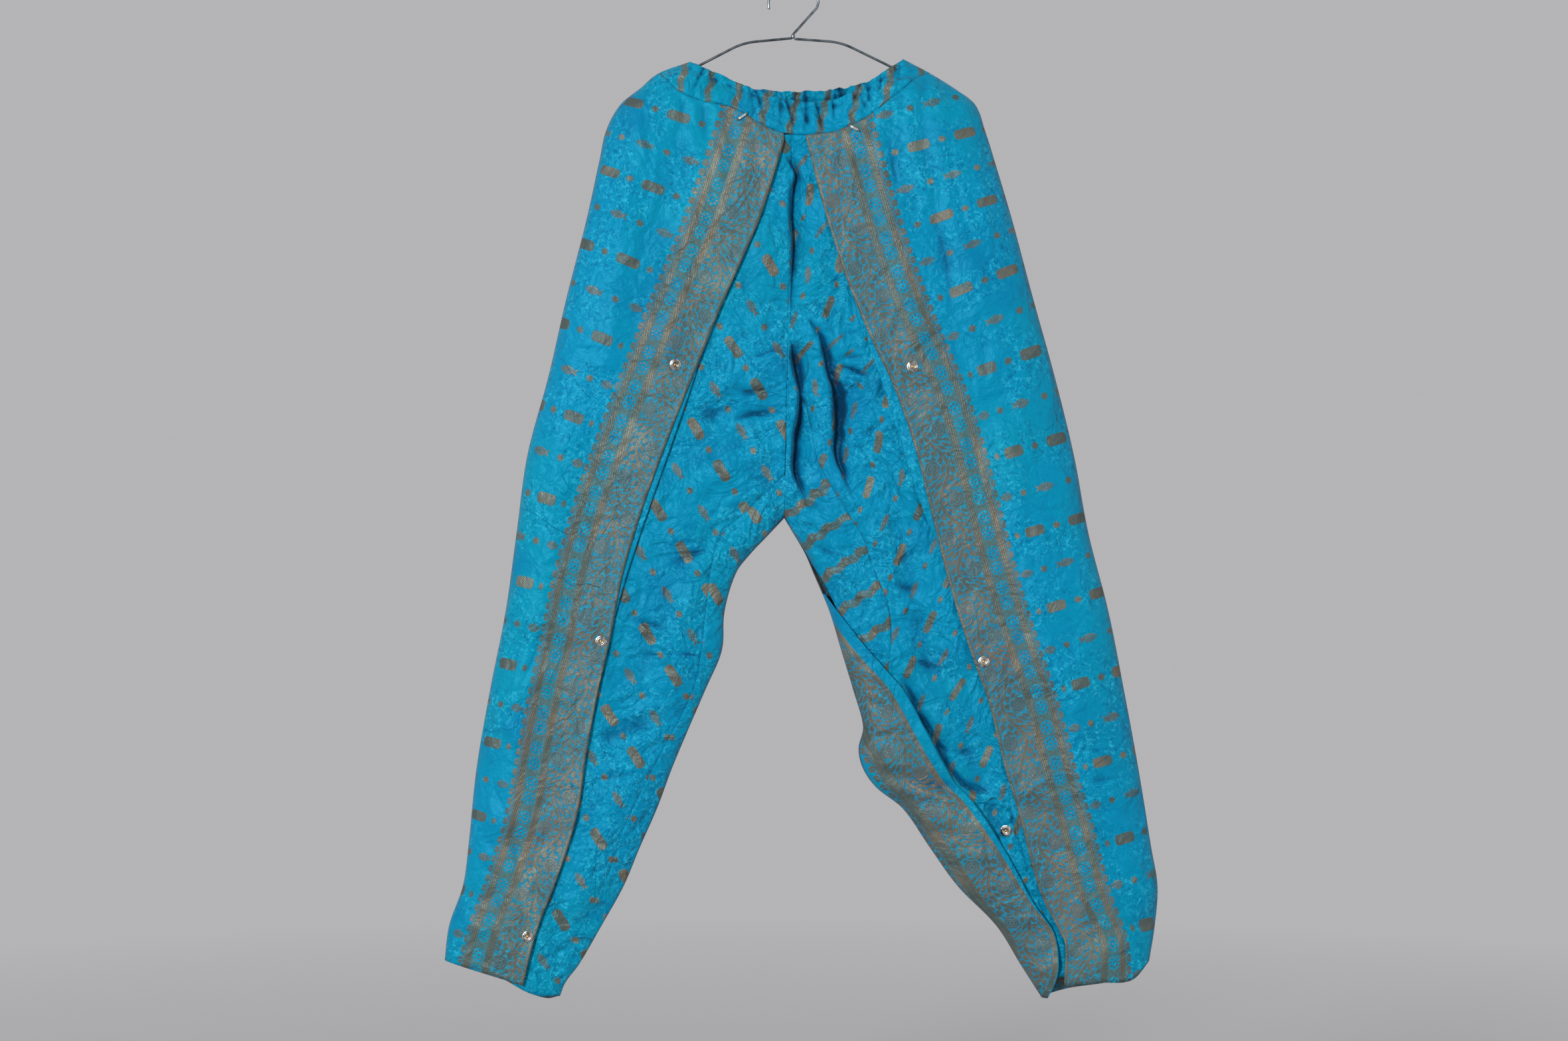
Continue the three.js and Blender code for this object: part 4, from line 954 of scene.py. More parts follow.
innerLeftFolds = [
    (22, -290, 30, -400, 11, 3), (60, -424, 100, -450, 12, -3), (60, -490, 105, -480, 12, 3.5),
    (50, -560, 110, -640, 14, 3.5), (120, -640, 145, -760, 15, -3.5), (120, -740, 165, -820, 15, 4),
    (190, -850, 225, -930, 12, -4)]
innerRight = dict(
    underLie, side=sides["right"], near="both", columns=76, rows=400,
    first=edge(rightFlapEdge, -158, -1087, -underFlap), second=edge(rightInseam, -172.9, -1117),
    topLine=bandSeamFront, hemLine=rightHem, folds=innerRightFolds, under=(rightFlapEdge, -1),
    seams=[rightInseam])
innerLeft = dict(
    underLie, side=sides["left"], near="both", columns=98, rows=400,
    first=edge(leftFlapEdge, -160, -1094, underFlap), second=edge(leftInseam, -172.9, -1096),
    topLine=bandSeamFront, hemLine=leftInnerHem, folds=innerLeftFolds, under=(leftFlapEdge, 1),
    wrapped=True, pleats=underPleats + besideWrap, seams=[leftInseam])
gussetRight = dict(
    underLie, side=sides["right"], near="end", columns=22, rows=187, firstShare=2 / 17,
    first=edge(rightInseam, -545, -1117, 0, -578.4), second=edge(rightInner, -545.5, -1117, 0, -590),
    folds=innerRightFolds, seams=[rightInseam])
gussetLeft = dict(
    underLie, side=sides["left"], near="end", columns=40, rows=130, firstShare=1 / 10,
    first=edge(leftInseam, -440, -766.9, 0, -470.7), second=edge(leftStripEdge, -441, -770, 0, -470.7),
    folds=innerLeftFolds, seams=[leftInseam])
backRight = dict(
    side=sides["right"], face="back", layer=0, near="both", seed=15,
    first=edge(rightSide, -103.1, -1078), second=edge(rightInner, -159.2, -1118),
    topLine=bandSeamBack, hemLine=rightHem, columns=90, rows=308,
    folds=[
        (-60, -180, -80, -420, 18, 4), (-150, -170, -190, -480, 18, 4), (-40, -470, -120, -540, 15, 4),
        (-60, -560, -150, -700, 16, -4), (-240, -600, -270, -900, 20, 4),
        (-190, -850, -290, -930, 16, -4), (-230, -960, -320, -1060, 16, 3.5)],
    creases=[
        (-52, -186, -60, -262, 5, 2.2, 3), (-112, -178, -122, -270, 5, -2, 3),
        (-168, -190, -186, -300, 6, 2, 3), (-20, -420, -90, -455, 5, -2.4, 5),
        (-24, -470, -110, -512, 5, 2.4, 6), (-20, -520, -100, -590, 5, -2.6, 6),
        (-30, -560, -96, -640, 5, 2.2, 4), (-210, -420, -262, -452, 6, 1.8, -4),
        (-150, -660, -200, -760, 6, -2, 5), (-110, -742, -190, -756, 4, -2.4, 3),
        (-160, -820, -230, -838, 5, 2, -3), (-300, -780, -250, -812, 6, 1.8, 3),
        (-200, -930, -262, -950, 4.5, -2.2, 2), (-240, -1010, -330, -1022, 5, 2, 3)],
    zones=[
        (-60, -520, 110, 150, 2, 30, 61), (-190, -300, 110, 160, 1.2, 46, 62),
        (-210, -800, 120, 220, 1.5, 40, 63), (-290, -1010, 100, 120, 1.5, 36, 64)],
    seams=[rightInner])
backLeft = dict(
    side=sides["left"], face="back", layer=0, near="both", seed=16,
    first=edge(leftSide, -104.1, -1078), second=edge(leftInner, -159.2, -1119),
    topLine=bandSeamBack, hemLine=leftHem, columns=90, rows=308, wrapColumns=34,
    folds=[
        (60, -180, 85, -440, 18, 4), (150, -170, 200, -480, 18, 4), (40, -450, 110, -530, 15, 4),
        (60, -560, 150, -680, 16, -4), (250, -600, 300, -900, 20, 4), (180, -830, 300, -900, 16, -4),
        (260, -960, 340, -1060, 16, 3.5)],
    creases=[
        (56, -186, 66, -262, 5, 2.2, -3), (116, -178, 128, -270, 5, -2, -3),
        (176, -190, 192, -300, 6, 2, -3), (18, -420, 86, -450, 5, -2.4, -5),
        (20, -474, 104, -516, 5, 2.4, -6), (16, -524, 94, -588, 5, -2.6, -6),
        (28, -566, 92, -636, 5, 2.2, -4), (220, -430, 280, -462, 6, 1.8, 4),
        (150, -660, 210, -750, 6, -2, -5), (100, -752, 186, -770, 4, -2.4, -3),
        (150, -830, 230, -846, 5, 2, 3), (330, -790, 270, -824, 6, 1.8, -3),
        (200, -920, 268, -944, 4.5, -2.2, -2), (260, -1012, 350, -1030, 5, 2, -3)],
    zones=[
        (60, -520, 110, 150, 2, 30, 65), (190, -300, 110, 160, 1.2, 46, 66),
        (210, -800, 120, 220, 1.5, 40, 67), (300, -1010, 100, 120, 1.5, 36, 68)])
wrap = dict(
    side=sides["left"], face="front", layer=0, seed=17,
    slant=0.7,    # of its fold line, across over down
    turnedIn=11 * mm, narrowsFrom=840 * mm, narrowsOver=200 * mm,    # its plain margin, turned in low down
    folds=[
        (90, -815, 125, -870, 14, 3), (95, -868, 190, -888, 10, -3), (130, -915, 205, -925, 16, 4),
        (250, -1062, 292, -1056, 8, -3), (262, -1085, 290, -1078, 9, 3.5)],
    creases=[
        (84, -836, 130, -828, 4, -2.2, 3), (92, -862, 168, -872, 4, 2.2, 4),
        (96, -876, 186, -894, 3.4, -1.1, 3), (110, -892, 196, -906, 4, 2.4, 3),
        (128, -930, 204, -938, 4, -1.8, -2), (160, -968, 226, -962, 5, 1.8, 3),
        (196, -1010, 250, -1006, 4, -1.4, 2), (228, -1036, 288, -1032, 5, 2.6, 3),
        (238, -1050, 290, -1044, 3, -0.8, 2), (244, -1064, 290, -1056, 5, 3, -2),
        (250, -1082, 288, -1072, 3, -0.8, -2), (256, -1098, 286, -1088, 5, 2.6, 2),
        (60, -752, 104, -776, 4, 1.8, 2), (70, -786, 122, -806, 4, -1.8, -3)],
    zones=[
        (170, -930, 110, 110, 1.6, 30, 71), (270, -1080, 50, 60, 1.2, 17, 72),
        (90, -800, 60, 90, 1.6, 26, 73)],
    free=(wrapEdge, -1))
bandLie = dict(
    near="both", hold=1, columns=330, rows=16, first=edge(rightSide, -91, -103),
    second=edge(leftSide, -88, -104), tall=34,
    wave=(3.2, 24 * mm), ripple=(2.0, 11 * mm), frill=(1.5, 7 * mm), lift=(2.2, 15 * mm),   # height, length
    tucks=36, start=-200, apart=(5, 17), lean=(-0.5, 0.5), wide=(1.1, 2.2), deep=(1.6, 5.4), reach=(0.7, 1.8))
bandFront = dict(bandLie, face="front", seed=18, topLine=bandTopFront, hemLine=bandSeamFront)
bandBack = dict(bandLie, face="back", seed=19, topLine=bandTopBack, hemLine=bandSeamBack)


def panelGrid(panel, s, v):
    # Points of a panel's middle surface over shares across and down
    x, z = place(panel, spread(s, panel["near"]), v)
    y = lie["sewn"] + layerDepth(panel, x, z)
    return np.stack([x, -y if panel["face"] == "front" else y, z], axis=-1)


def wrapGrid(s, v):
    # The border that wraps forward: between the leg's fold and its free edge
    second = backLeft["second"]
    z = second["top"] + (second["low"] - second["top"]) * v
    fold, free = smooth(leftInner, z), smooth(wrapEdge, z)
    x = fold + (free - fold) * spread(s, "start")
    z = np.broadcast_to(z, x.shape)
    return np.stack([x, -lie["sewn"] - layerDepth(wrap, x, z), z], axis=-1)


def bandGrid(band, s, v):
    # The waistband: closed at both outlines, gathered in uneven waves that the seam holds, and its top
    # edge ruffled up and down
    x, z = place(band, spread(s, band["near"]), v)
    closed = rise(inFrom(rightSide, x, z, 1), lie["roll"]) * rise(inFrom(leftSide, x, z, -1), lie["roll"])
    free = 1 - v
    ends = np.minimum(np.minimum(1, 12 * s), 12 * (1 - s))
    held = np.minimum(1, 2.5 * free) * ends
    seed = band["seed"]

    def wavy(part, later, flatter, count=9):
        height, length = band[part]
        return height * crumple(seed + later, x, z * flatter, length, count)

    waves = wavy("wave", 0, 0.3) + wavy("ripple", 1, 0.6)
    frill = wavy("frill", 3, 0.15, 4) * np.clip(free * 4 - 3, 0, 1)
    draw = np.random.default_rng(seed + 7)
    for at in np.cumsum(draw.uniform(*band["apart"], band["tucks"])) + band["start"]:
        # pinched tucks, leaning and unevenly apart, steeper on one side
        lean, wide, deep, reach = [draw.uniform(*band[part]) for part in ("lean", "wide", "deep", "reach")]
        beside = (x / mm - at - lean * free * band["tall"]) / wide
        beside = beside * np.where(beside > 0, 0.45, 1.3)
        lasting = np.clip(reach - np.abs(free - 0.8) * 1.3, 0, 1)
        waves = waves - deep * np.exp(-np.abs(beside) ** 1.5) * lasting
    elastic = -1.9 * np.exp(-((free - 0.78) / 0.06) ** 2) * ends - 0.9 * np.exp(-(free / 0.055) ** 2)
    y = lie["sewn"] + closed * (smooth(halfDepth[band["face"]], z) + (held * (waves + frill) + elastic) * mm)
    z = z + wavy("lift", 2, 0.1) * mm * np.clip(free * 2.5 - 1.5, 0, 1) * ends
    return np.stack([x, -y if band["face"] == "front" else y, z], axis=-1)


def shares(panel):
    # Even shares across; those down are closer together under the waistband
    across = np.linspace(0, 1, panel["columns"] + 1)[None, :]
    down = np.linspace(0, 1, panel["rows"] + 1)[:, None]
    return across, spread(down, "start" if panel.get("topLine") else "")


def calmEdge(curve, top, low, calm):
    # An edge carried on past both ends, smoothed over calm mm: its x, slope and running length by height
    z = np.arange(low - 150, top + 150, 2.0) * mm
    held = np.clip(z, low * mm, top * mm)
    step = 12 * mm
    ends = [(smooth(curve, at * mm + step * way) - smooth(curve, at * mm)) / (step * way)
            for at, way in ((low, 1), (top, -1))]
    x = smooth(curve, held) + np.where(z < held, ends[0], ends[1]) * (z - held)
    cells = max(int(calm / 2), 1)
    for _ in range(2):
        x = blurred(x[:, None], (cells, 0))[:, 0]
    slope = np.gradient(x, z)
    run = np.cumsum(np.hypot(1, slope)) * 2 * mm
    return dict(z=z, x=x, slope=slope, run=run[-1] - run)


def footOn(calm, x, z):
    # Nearest place on a calm edge, by repeated steps down the slope of the distance
    foot = z.copy()
    for _ in range(8):
        slope = np.interp(foot, calm["z"], calm["slope"])
        foot = foot + ((x - np.interp(foot, calm["z"], calm["x"])) * slope + z - foot) / (1 + slope ** 2)
    return foot


laid = dict(
    followed=80 * mm,                  # how far in the rows follow the edge's small bends
    unfolded=60 * mm,                  # over which the folds' own length comes in
    taken=(70 * mm, 32 * mm),          # where a fold takes up cloth: from so far across, over so much
    takenLow=(260 * mm, 170 * mm))     # and down


def besideEdge(points, curve, way, top, low, calm, shift=(0, 0)):
    # The cloth's own coordinates: distance in from an edge, lengthened by its folds and by one that takes up
    # shift mm beyond the border, and running length along the edge
    x, z = points[..., 0], points[..., 2]
    calmed = calmEdge(curve, top, low, calm)
    foot = footOn(calmed, x, z)
    beside = x - np.interp(foot, calmed["z"], calmed["x"])
    across = np.hypot(beside, z - foot) * np.sign(beside * way)
    slant = np.hypot(1, np.interp(foot, calmed["z"], calmed["slope"]))
    held = np.clip(z, low * mm, top * mm)
    off = (smooth(curve, held) - np.interp(held, calmed["z"], calmed["x"])) * way / slant
    across = across - off * np.clip(1.6 - across / laid["followed"], 0, 1)
    along = np.interp(foot, calmed["z"], calmed["run"])
    across = across + np.abs(unfolded(points) - x) * np.clip(across / laid["unfolded"], 0, 1)
    taken = 1
    for reach, (start, over) in ((across, laid["taken"]), (-z, laid["takenLow"])):
        taken = taken * np.clip((reach - start) / over, 0, 1)
    return np.stack([across + shift[0] * mm * taken, along + shift[1] * mm], axis=-1)


def unfolded(points):
    # The x of each row when its folds are run out flat from its last column
    steps = np.diff(points[:, ::-1], axis=1)
    run = np.cumsum(np.hypot(steps[..., 0], steps[..., 1]), axis=1)
    run = np.concatenate([np.zeros_like(run[:, :1]), run], axis=1)[:, ::-1]
    return points[:, -1:, 0] + np.sign(points[:, :1, 0] - points[:, -1:, 0]) * run


def turnedMap(points, x0, z0, degrees, turn, along, first):
    # Cloth whose rows of motifs run askew: axes turned about a motif's place
    x = unfolded(points) - x0 * mm
    z = points[..., 2] - z0 * mm
    lean = math.radians(degrees)
    ax, az = math.cos(lean), math.sin(lean)
    across, beside = x * ax + z * az, (z * ax - x * az) * turn
    return np.stack([across + first * mm, beside * butti["along"] / along], axis=-1)


def clothArea(points):
    # Area of a grid: half the cross product of each cell's diagonals
    one = points[1:, 1:] - points[:-1, :-1]
    other = points[1:, :-1] - points[:-1, 1:]
    return float(np.linalg.norm(np.cross(one, other), axis=-1).sum() / 2)


def declare(piece, replaced=None):
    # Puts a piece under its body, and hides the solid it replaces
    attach(piece, "root")
    if replaced:
        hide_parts(replaced)


def declareSheet(piece, name, area):
    # A cloth piece gets its wall, is put under its body, and hides the solid it replaces
    shell = piece.modifiers.new("wall", "SOLIDIFY")
    shell.thickness = lie["thick"]
    shell.offset = 0
    declare(piece, name)


def makePanel(name, panel, points, maps, materials, has=None):
    # A panel's shell: maps are the cloth's coordinates up to a column, and after it
    rows, columns = points.shape[:2]
    middle = points[rows // 2, :, 0]
    turned = (middle[0] < middle[panel["columns"] // 2]) == (panel["face"] == "front")
    faces = gridFaces(rows, columns, has, turned)
    depth = np.abs(points[..., 1])
    cells = [np.linalg.norm(np.diff(points, axis=axis), axis=-1).mean() for axis in (0, 1)]
    reaches = [max(2, round(lie["hollowReach"] / cell)) for cell in cells]
    # Each point's height over its surroundings, by which the silk paints shade where it lies low
    hollow = (depth - blurred(blurred(depth, reaches), reaches)) / mm
    later = (faces.min(axis=1) % columns) >= panel["columns"]
    layout = np.where(later[:, None, None], maps[-1].reshape(-1, 2)[faces], maps[0].reshape(-1, 2)[faces])
    kinds = later if len(materials) > 1 else None
    piece = newPiece("cloth_" + name, points, faces, materials, layout, hollow, kinds)
    area = clothArea(points[:, :panel["columns"] + 1])
    if has is not None:
        area += clothArea(points[panel["wrapStart"]:, panel["columns"]:])
    declareSheet(piece, name, area)


def makeFlap(name, panel, edgeCurve, way, low, shift):
    # A flap: its border runs along its free edge
    points = panelGrid(panel, *shares(panel))
    layout = besideEdge(points, edgeCurve, way, -180, low, calm=80, shift=shift)
    makePanel(name, panel, points, [layout], [borderedSilk])


def makeInner(name, panel, lay, material):
    # An under-leg panel: its rows of motifs run askew, as laid
    points = panelGrid(panel, *shares(panel))
    layout = turnedMap(points, *lay)
    makePanel(name, panel, points, [layout], [material])


makeFlap("flap_right", flapRight, rightFlapEdge, -1, -1104, (15, -31))
makeFlap("flap_left", flapLeft, leftFlapEdge, 1, -1104, (17, 31))
rightLay = (-30, -541.7, 122, 1, 41, butti["first"])
leftLay = (100.8, -595.5, 66, -1, 30, butti["first"])
stripLay = (39, -607, 33, -1, 44, 0)
makeInner("inner_right", innerRight, rightLay, fieldSilk)
makeInner("inner_left", innerLeft, leftLay, fieldSilk)
makeInner("gusset_right", gussetRight, rightLay, fieldSilk)
makeInner("gusset_left", gussetLeft, stripLay, stripSilk)

points = panelGrid(backRight, *shares(backRight))
layout = besideEdge(points, rightInner, -1, -130, -1118, calm=90)
makePanel("back_right", backRight, points, [layout], [borderedSilk])
s, v = shares(backLeft)
flatPart = panelGrid(backLeft, s, v)
wrapShare = np.linspace(0, 1, backLeft["wrapColumns"] + 1)[None, 1:]
wrapPart = wrapGrid(wrapShare, v)
wholeBack = np.concatenate([flatPart, wrapPart], axis=1)
hasBack = np.ones((wholeBack.shape[0] - 1, wholeBack.shape[1] - 1), bool)
backLeft["wrapStart"] = int(np.argmax(flatPart[:, -1, 2] < wrapTop - 1 * mm))
hasBack[:backLeft["wrapStart"], backLeft["columns"]:] = False
foldLine = flatPart[:, -1:, 2]
wrapWide = np.clip(smooth(wrapEdge, foldLine) - smooth(leftInner, foldLine), 0, 1)
wrapWide = np.where(foldLine < wrapTop, wrapWide / np.hypot(1, wrap["slant"]), 0)
backMap = besideEdge(flatPart, leftInner, 1, -130, -1119, calm=90)
backMap[..., 0] += wrapWide
wrapMap = besideEdge(wholeBack[:, backLeft["columns"]:], wrapEdge, -1, -669, -1119, calm=40)
drop = -wholeBack[:, backLeft["columns"]:, 2] - wrap["narrowsFrom"]
wrapMap[..., 0] += wrap["turnedIn"] * np.clip(drop / wrap["narrowsOver"], 0, 1)
wrapMap = np.concatenate([np.zeros_like(backMap[:, :-1]), wrapMap], axis=1)
backMap = np.concatenate([backMap, np.zeros_like(wrapMap[:, backLeft["columns"] + 1:])], axis=1)
makePanel("back_left", backLeft, wholeBack, [backMap, wrapMap], [borderedSilk, wrapSilk],
          hasBack)
for name, band in (("waistband_front", bandFront), ("waistband_back", bandBack)):
    points = bandGrid(band, *shares(band))
    layout = turnedMap(points * np.array([1, 0, 1]), 0, -150, 78, -1, 35, 0)
    makePanel(name, band, points, [layout], [barSilk])
print("cloth made")

# ---- facings, studs, beads, thread and hanger ----

facings = dict(
    facing_right=dict(flap=flapRight, edge=rightFlapEdge, way=-1, top=-425, low=-700, peek=7),
    facing_left=dict(flap=flapLeft, edge=leftFlapEdge, way=1, top=-385, low=-620, peek=14))
facingCut = dict(tuck=22 * mm, taper=0.7, wide=0.036, columns=14, rows=110)


def makeFacing(name, side):
    # A turned-back strip under a flap's free edge, whose own edge peeks out in one long bow
    s = np.linspace(0, 1, facingCut["columns"] + 1)[None, :]
    v = np.linspace(0, 1, facingCut["rows"] + 1)[:, None]
    z = (side["top"] + (side["low"] - side["top"]) * v) * mm
    edgeX = smooth(side["edge"], z)
    first = edgeX + side["way"] * facingCut["tuck"]
    second = edgeX - side["way"] * side["peek"] * mm * np.sin(np.pi * v) ** facingCut["taper"]
    x = first + (second - first) * s
    z = np.broadcast_to(z, x.shape)
    under = dict(side["flap"], layer=lie["facingLayer"])
    points = np.stack([x, -lie["sewn"] - layerDepth(under, x, z), z], axis=-1)
    layout = np.stack([unfolded(points), z], axis=-1)
    faces = gridFaces(*points.shape[:2], turned=side["way"] < 0)
    corners = layout.reshape(-1, 2)[faces]
    piece = newPiece("cloth_" + name, points, faces, [plainSilk], corners, np.zeros(x.size))
    flat = (facingCut["wide"], round((side["top"] - side["low"]) * mm, 3))
    flap = "cloth_" + name.replace("facing", "flap")
    declareSheet(piece, name, clothArea(points))


for name, side in facings.items():
    makeFacing(name, side)


def seat(panel, x, z, reach):
    # Where something of that reach sits on a panel: its place, and the directions across, up and out
    def depth(dx, dz):
        return lie["sewn"] + layerDepth(panel, np.array([x + dx]), np.array([z + dz]))[0]

    step = 2 * mm
    slopeX = (depth(step, 0) - depth(-step, 0)) / (2 * step)
    slopeZ = (depth(0, step) - depth(0, -step)) / (2 * step)
    out = np.array([-slopeX, -1, -slopeZ]) / math.hypot(1, slopeX, slopeZ)
    across = np.array([1, -slopeX, 0]) / math.hypot(1, slopeX)
    up = np.cross(out, across) * -1
    rim = [(reach * math.cos(a), reach * math.sin(a)) for a in np.arange(8) * math.pi / 4]
    proud = max(depth(dx, dz) - depth(0, 0) - slopeX * dx - slopeZ * dz for dx, dz in rim)
    middle = np.array([x, -depth(0, 0), z])
    return middle + out * (lie["thick"] / 2 + max(proud, 0) + 0.1 * mm), across, up, out


def ringFaces(rows, sides):
    # Four-cornered faces between rings of points, each closed round
    ring = np.arange(rows * sides).reshape(-1, sides)
    after = np.roll(ring, -1, axis=1)
    return np.stack([ring[:-1], after[:-1], after[1:], ring[1:]], axis=-1).reshape(-1, 4)


def turnedShape(profile, sides, bend=None):
    # A profile of (radius, height) carried round, closed at its poles: points and faces
    radius, height = np.array(profile, float).T * mm
    angle = np.arange(sides) * 2 * math.pi / sides
    x = np.outer(np.maximum(radius, 1e-6), np.cos(angle))
    y = np.outer(np.maximum(radius, 1e-6), np.sin(angle))
    z = np.repeat(height[:, None], sides, axis=1)
    if bend is not None:
        z = z + bend(x, y)
    return np.stack([x, y, z], axis=-1).reshape(-1, 3), ringFaces(len(profile), sides)


def tube(path, radii, sides):
    # A circle carried along a path, with rounded ends
    path, radii = np.asarray(path, float), np.asarray(radii, float)
    along = np.gradient(path, axis=0)
    along = along / np.linalg.norm(along, axis=1)[:, None]
    side = np.cross(along, (0, 1, 0))
    side = side / np.linalg.norm(side, axis=1)[:, None]
    other = np.cross(along, side)
    turn = np.array([0, 0.35, 0.7, 0.92])    # the rounded ends' rings, from pole to path
    bulge = np.sqrt(1 - (1 - turn) ** 2)
    start = path[:1] - along[:1] * ((1 - turn) * radii[0] * 0.9)[:, None]
    end = path[-1:] + along[-1:] * ((1 - turn[::-1]) * radii[-1] * 0.9)[:, None]
    path = np.concatenate([start, path, end])
    radii = np.concatenate([radii[0] * bulge, radii, radii[-1] * bulge[::-1]])
    radii = np.maximum(radii, 1e-6)
    side, other = [np.concatenate([axis[:1].repeat(4, axis=0), axis, axis[-1:].repeat(4, axis=0)])
                   for axis in (side, other)]
    angle = np.arange(sides) * 2 * math.pi / sides
    around = side[:, None] * np.cos(angle)[:, None] + other[:, None] * np.sin(angle)[:, None]
    return (path[:, None] + around * radii[:, None, None]).reshape(-1, 3), ringFaces(len(path), sides)


def joined(parts):
    # Several shapes as one: their points and faces, and which shape each face is of
    faces, kinds, points, count = [], [], [], 0
    for kind, (shapePoints, shapeFaces) in parts:
        faces.append(shapeFaces + count)
        kinds.append(np.full(len(shapeFaces), kind))
        points.append(shapePoints)
        count += len(shapePoints)
    return np.concatenate(points), np.concatenate(faces), np.concatenate(kinds)


def finishTrim(name, parts, materials, replaced=None):
    # One piece of several shapes, each of one material, with its poles merged and its faces outward
    points, faces, kinds = joined(parts)
    piece = newPiece(name, points, faces, materials, kinds=kinds)
    closed = bmesh.new()
    closed.from_mesh(piece.data)
    bmesh.ops.remove_doubles(closed, verts=closed.verts, dist=3e-6)
    bmesh.ops.recalc_face_normals(closed, faces=closed.faces)
    closed.to_mesh(piece.data)
    closed.free()
    declare(piece, replaced)


def metalMaterial(name, tint, worn, roughness, size):
    # Metal with dull patches and fine wear
    shader = Shader(name)
    dull = shader.patches(0.42, 0.64, size, 3.0)
    rough = calc("MULTIPLY_ADD", shader.noise(size * 0.4), 0.2, roughness - 0.1)
    return shader.set(Base_Color=shader.mix(dull, tint, worn), Metallic=1.0, Roughness=rough,
                      Normal=shader.bump(shader.noise(0.8), 0.03))


def threadMaterial(name, tint, other):
    # Dull, fuzzy thread in two tints
    shader = Shader(name)
    return shader.set(Base_Color=shader.mix(shader.noise(1.2), tint, other), Roughness=0.7,
                      Normal=shader.bump(shader.noise(0.35), 0.1))


def glassMaterial(name, tint, other, metallic, roughness):
    # Glass with a foil look, uneven in tint, under a clear coat
    shader = Shader(name)
    return shader.set(Base_Color=shader.mix(shader.noise(1.6), tint, other), Metallic=metallic,
                      Roughness=roughness, Coat_Weight=0.8, Normal=shader.bump(shader.noise(0.9), 0.04))


steel = metalMaterial("studSteel", colour(186, 184, 178), colour(108, 106, 100), 0.32, 2.6)
brass = metalMaterial("studBrass", colour(190, 150, 84), colour(120, 92, 60), 0.36, 1.2)
wireMetal = metalMaterial("hangerWire", colour(112, 122, 128), colour(66, 76, 84), 0.28, 9)
blueThread = threadMaterial("blueThread", colour(0, 84, 124), colour(6, 120, 160))
silverGlass = glassMaterial("silverGlass", colour(226, 230, 228), colour(150, 160, 160), 0.7, 0.12)
greenGlass = glassMaterial("greenGlass", colour(96, 122, 104), colour(52, 76, 70), 0.4, 0.18)

stud = dict(
    profile=[
        (0, 0), (6, 0), (6.35, 0.3), (6.3, 0.6), (5.9, 0.78), (4.7, 0.85), (4.35, 1.5), (3.95, 1.78),
        (3.4, 1.72), (2.7, 1.15), (2.3, 0.7), (1.6, 0.62)],
    pin=[(1.7, 0.5), (1.4, 0.95), (0.9, 1.25), (0, 1.32)],
    holes=[(5.1, a) for a in (0.6, 2.17, 3.74, 5.31)], holeWide=0.62, holeDeep=0.5, sides=56)
studPlaces = dict(
    stud_flap_right_1=(flapRight, -129, -425), stud_flap_right_2=(flapRight, -210, -727),
    stud_flap_right_3=(flapRight, -290.5, -1050), stud_flap_left_1=(flapLeft, 130, -427),
    stud_flap_left_2=(flapLeft, 208, -749), stud_inner_left=(innerLeft, 233, -935))


def pits(x, y):
    # Four round pits in a stud's rim, for its stitches
    depth = np.zeros_like(x)
    for r, a in stud["holes"]:
        away = np.hypot(x - r * mm * math.cos(a), y - r * mm * math.sin(a))
        depth -= stud["holeDeep"] * mm * np.exp(-(away / (stud["holeWide"] * mm)) ** 4)
    return depth


def seated(shape, place, tilt=0.0, lift=0.0):
    # A shape's own axes laid on a seat: first turned by its tilt
    middle, across, up, out = place
    along = across * math.cos(tilt) + up * math.sin(tilt)
    beside = up * math.cos(tilt) - across * math.sin(tilt)
    points, faces = shape
    return middle + out * lift + points @ np.array([along, beside, out]), faces


for name, (panel, x, z) in studPlaces.items():
    spot = seat(panel, x * mm, z * mm, 6.3 * mm)
    disc = seated(turnedShape(stud["profile"], stud["sides"], pits), spot)
    pin = seated(turnedShape(stud["pin"], 20), spot)
    stitches = []
    for r, a in stud["holes"]:
        reach = np.linspace(0, 1, 7)[:, None]
        inner = np.array([math.cos(a), math.sin(a), 0]) * r * mm
        outer = np.array([math.cos(a), math.sin(a), 0]) * (r + 1.7) * mm
        hump = np.array([0, 0, 1]) * np.sin(reach * math.pi) * 0.35 * mm
        path = inner + (outer - inner) * reach + hump + np.array([0, 0, 1]) * (0.55 - 0.6 * reach) * mm
        stitches.append((2, seated(tube(path, np.full(7, 0.17 * mm), 6), spot)))
    finishTrim(name.replace("stud_", "snap_"), [(0, disc), (1, pin)] + stitches, [steel, brass, blueThread],
               name)

bugle = dict(length=9.5, radius=1.5, hole=0.6, small=1.35)
beads = dict(    # panel, x, z and tilt
    bead_right=(flapRight, -56, -154, -0.62), bead_left=(flapLeft, 66, -166.5, 0.5))


def alongX(shape):
    # A shape turned about z laid along x
    points, faces = shape
    return points[:, [2, 0, 1]], faces


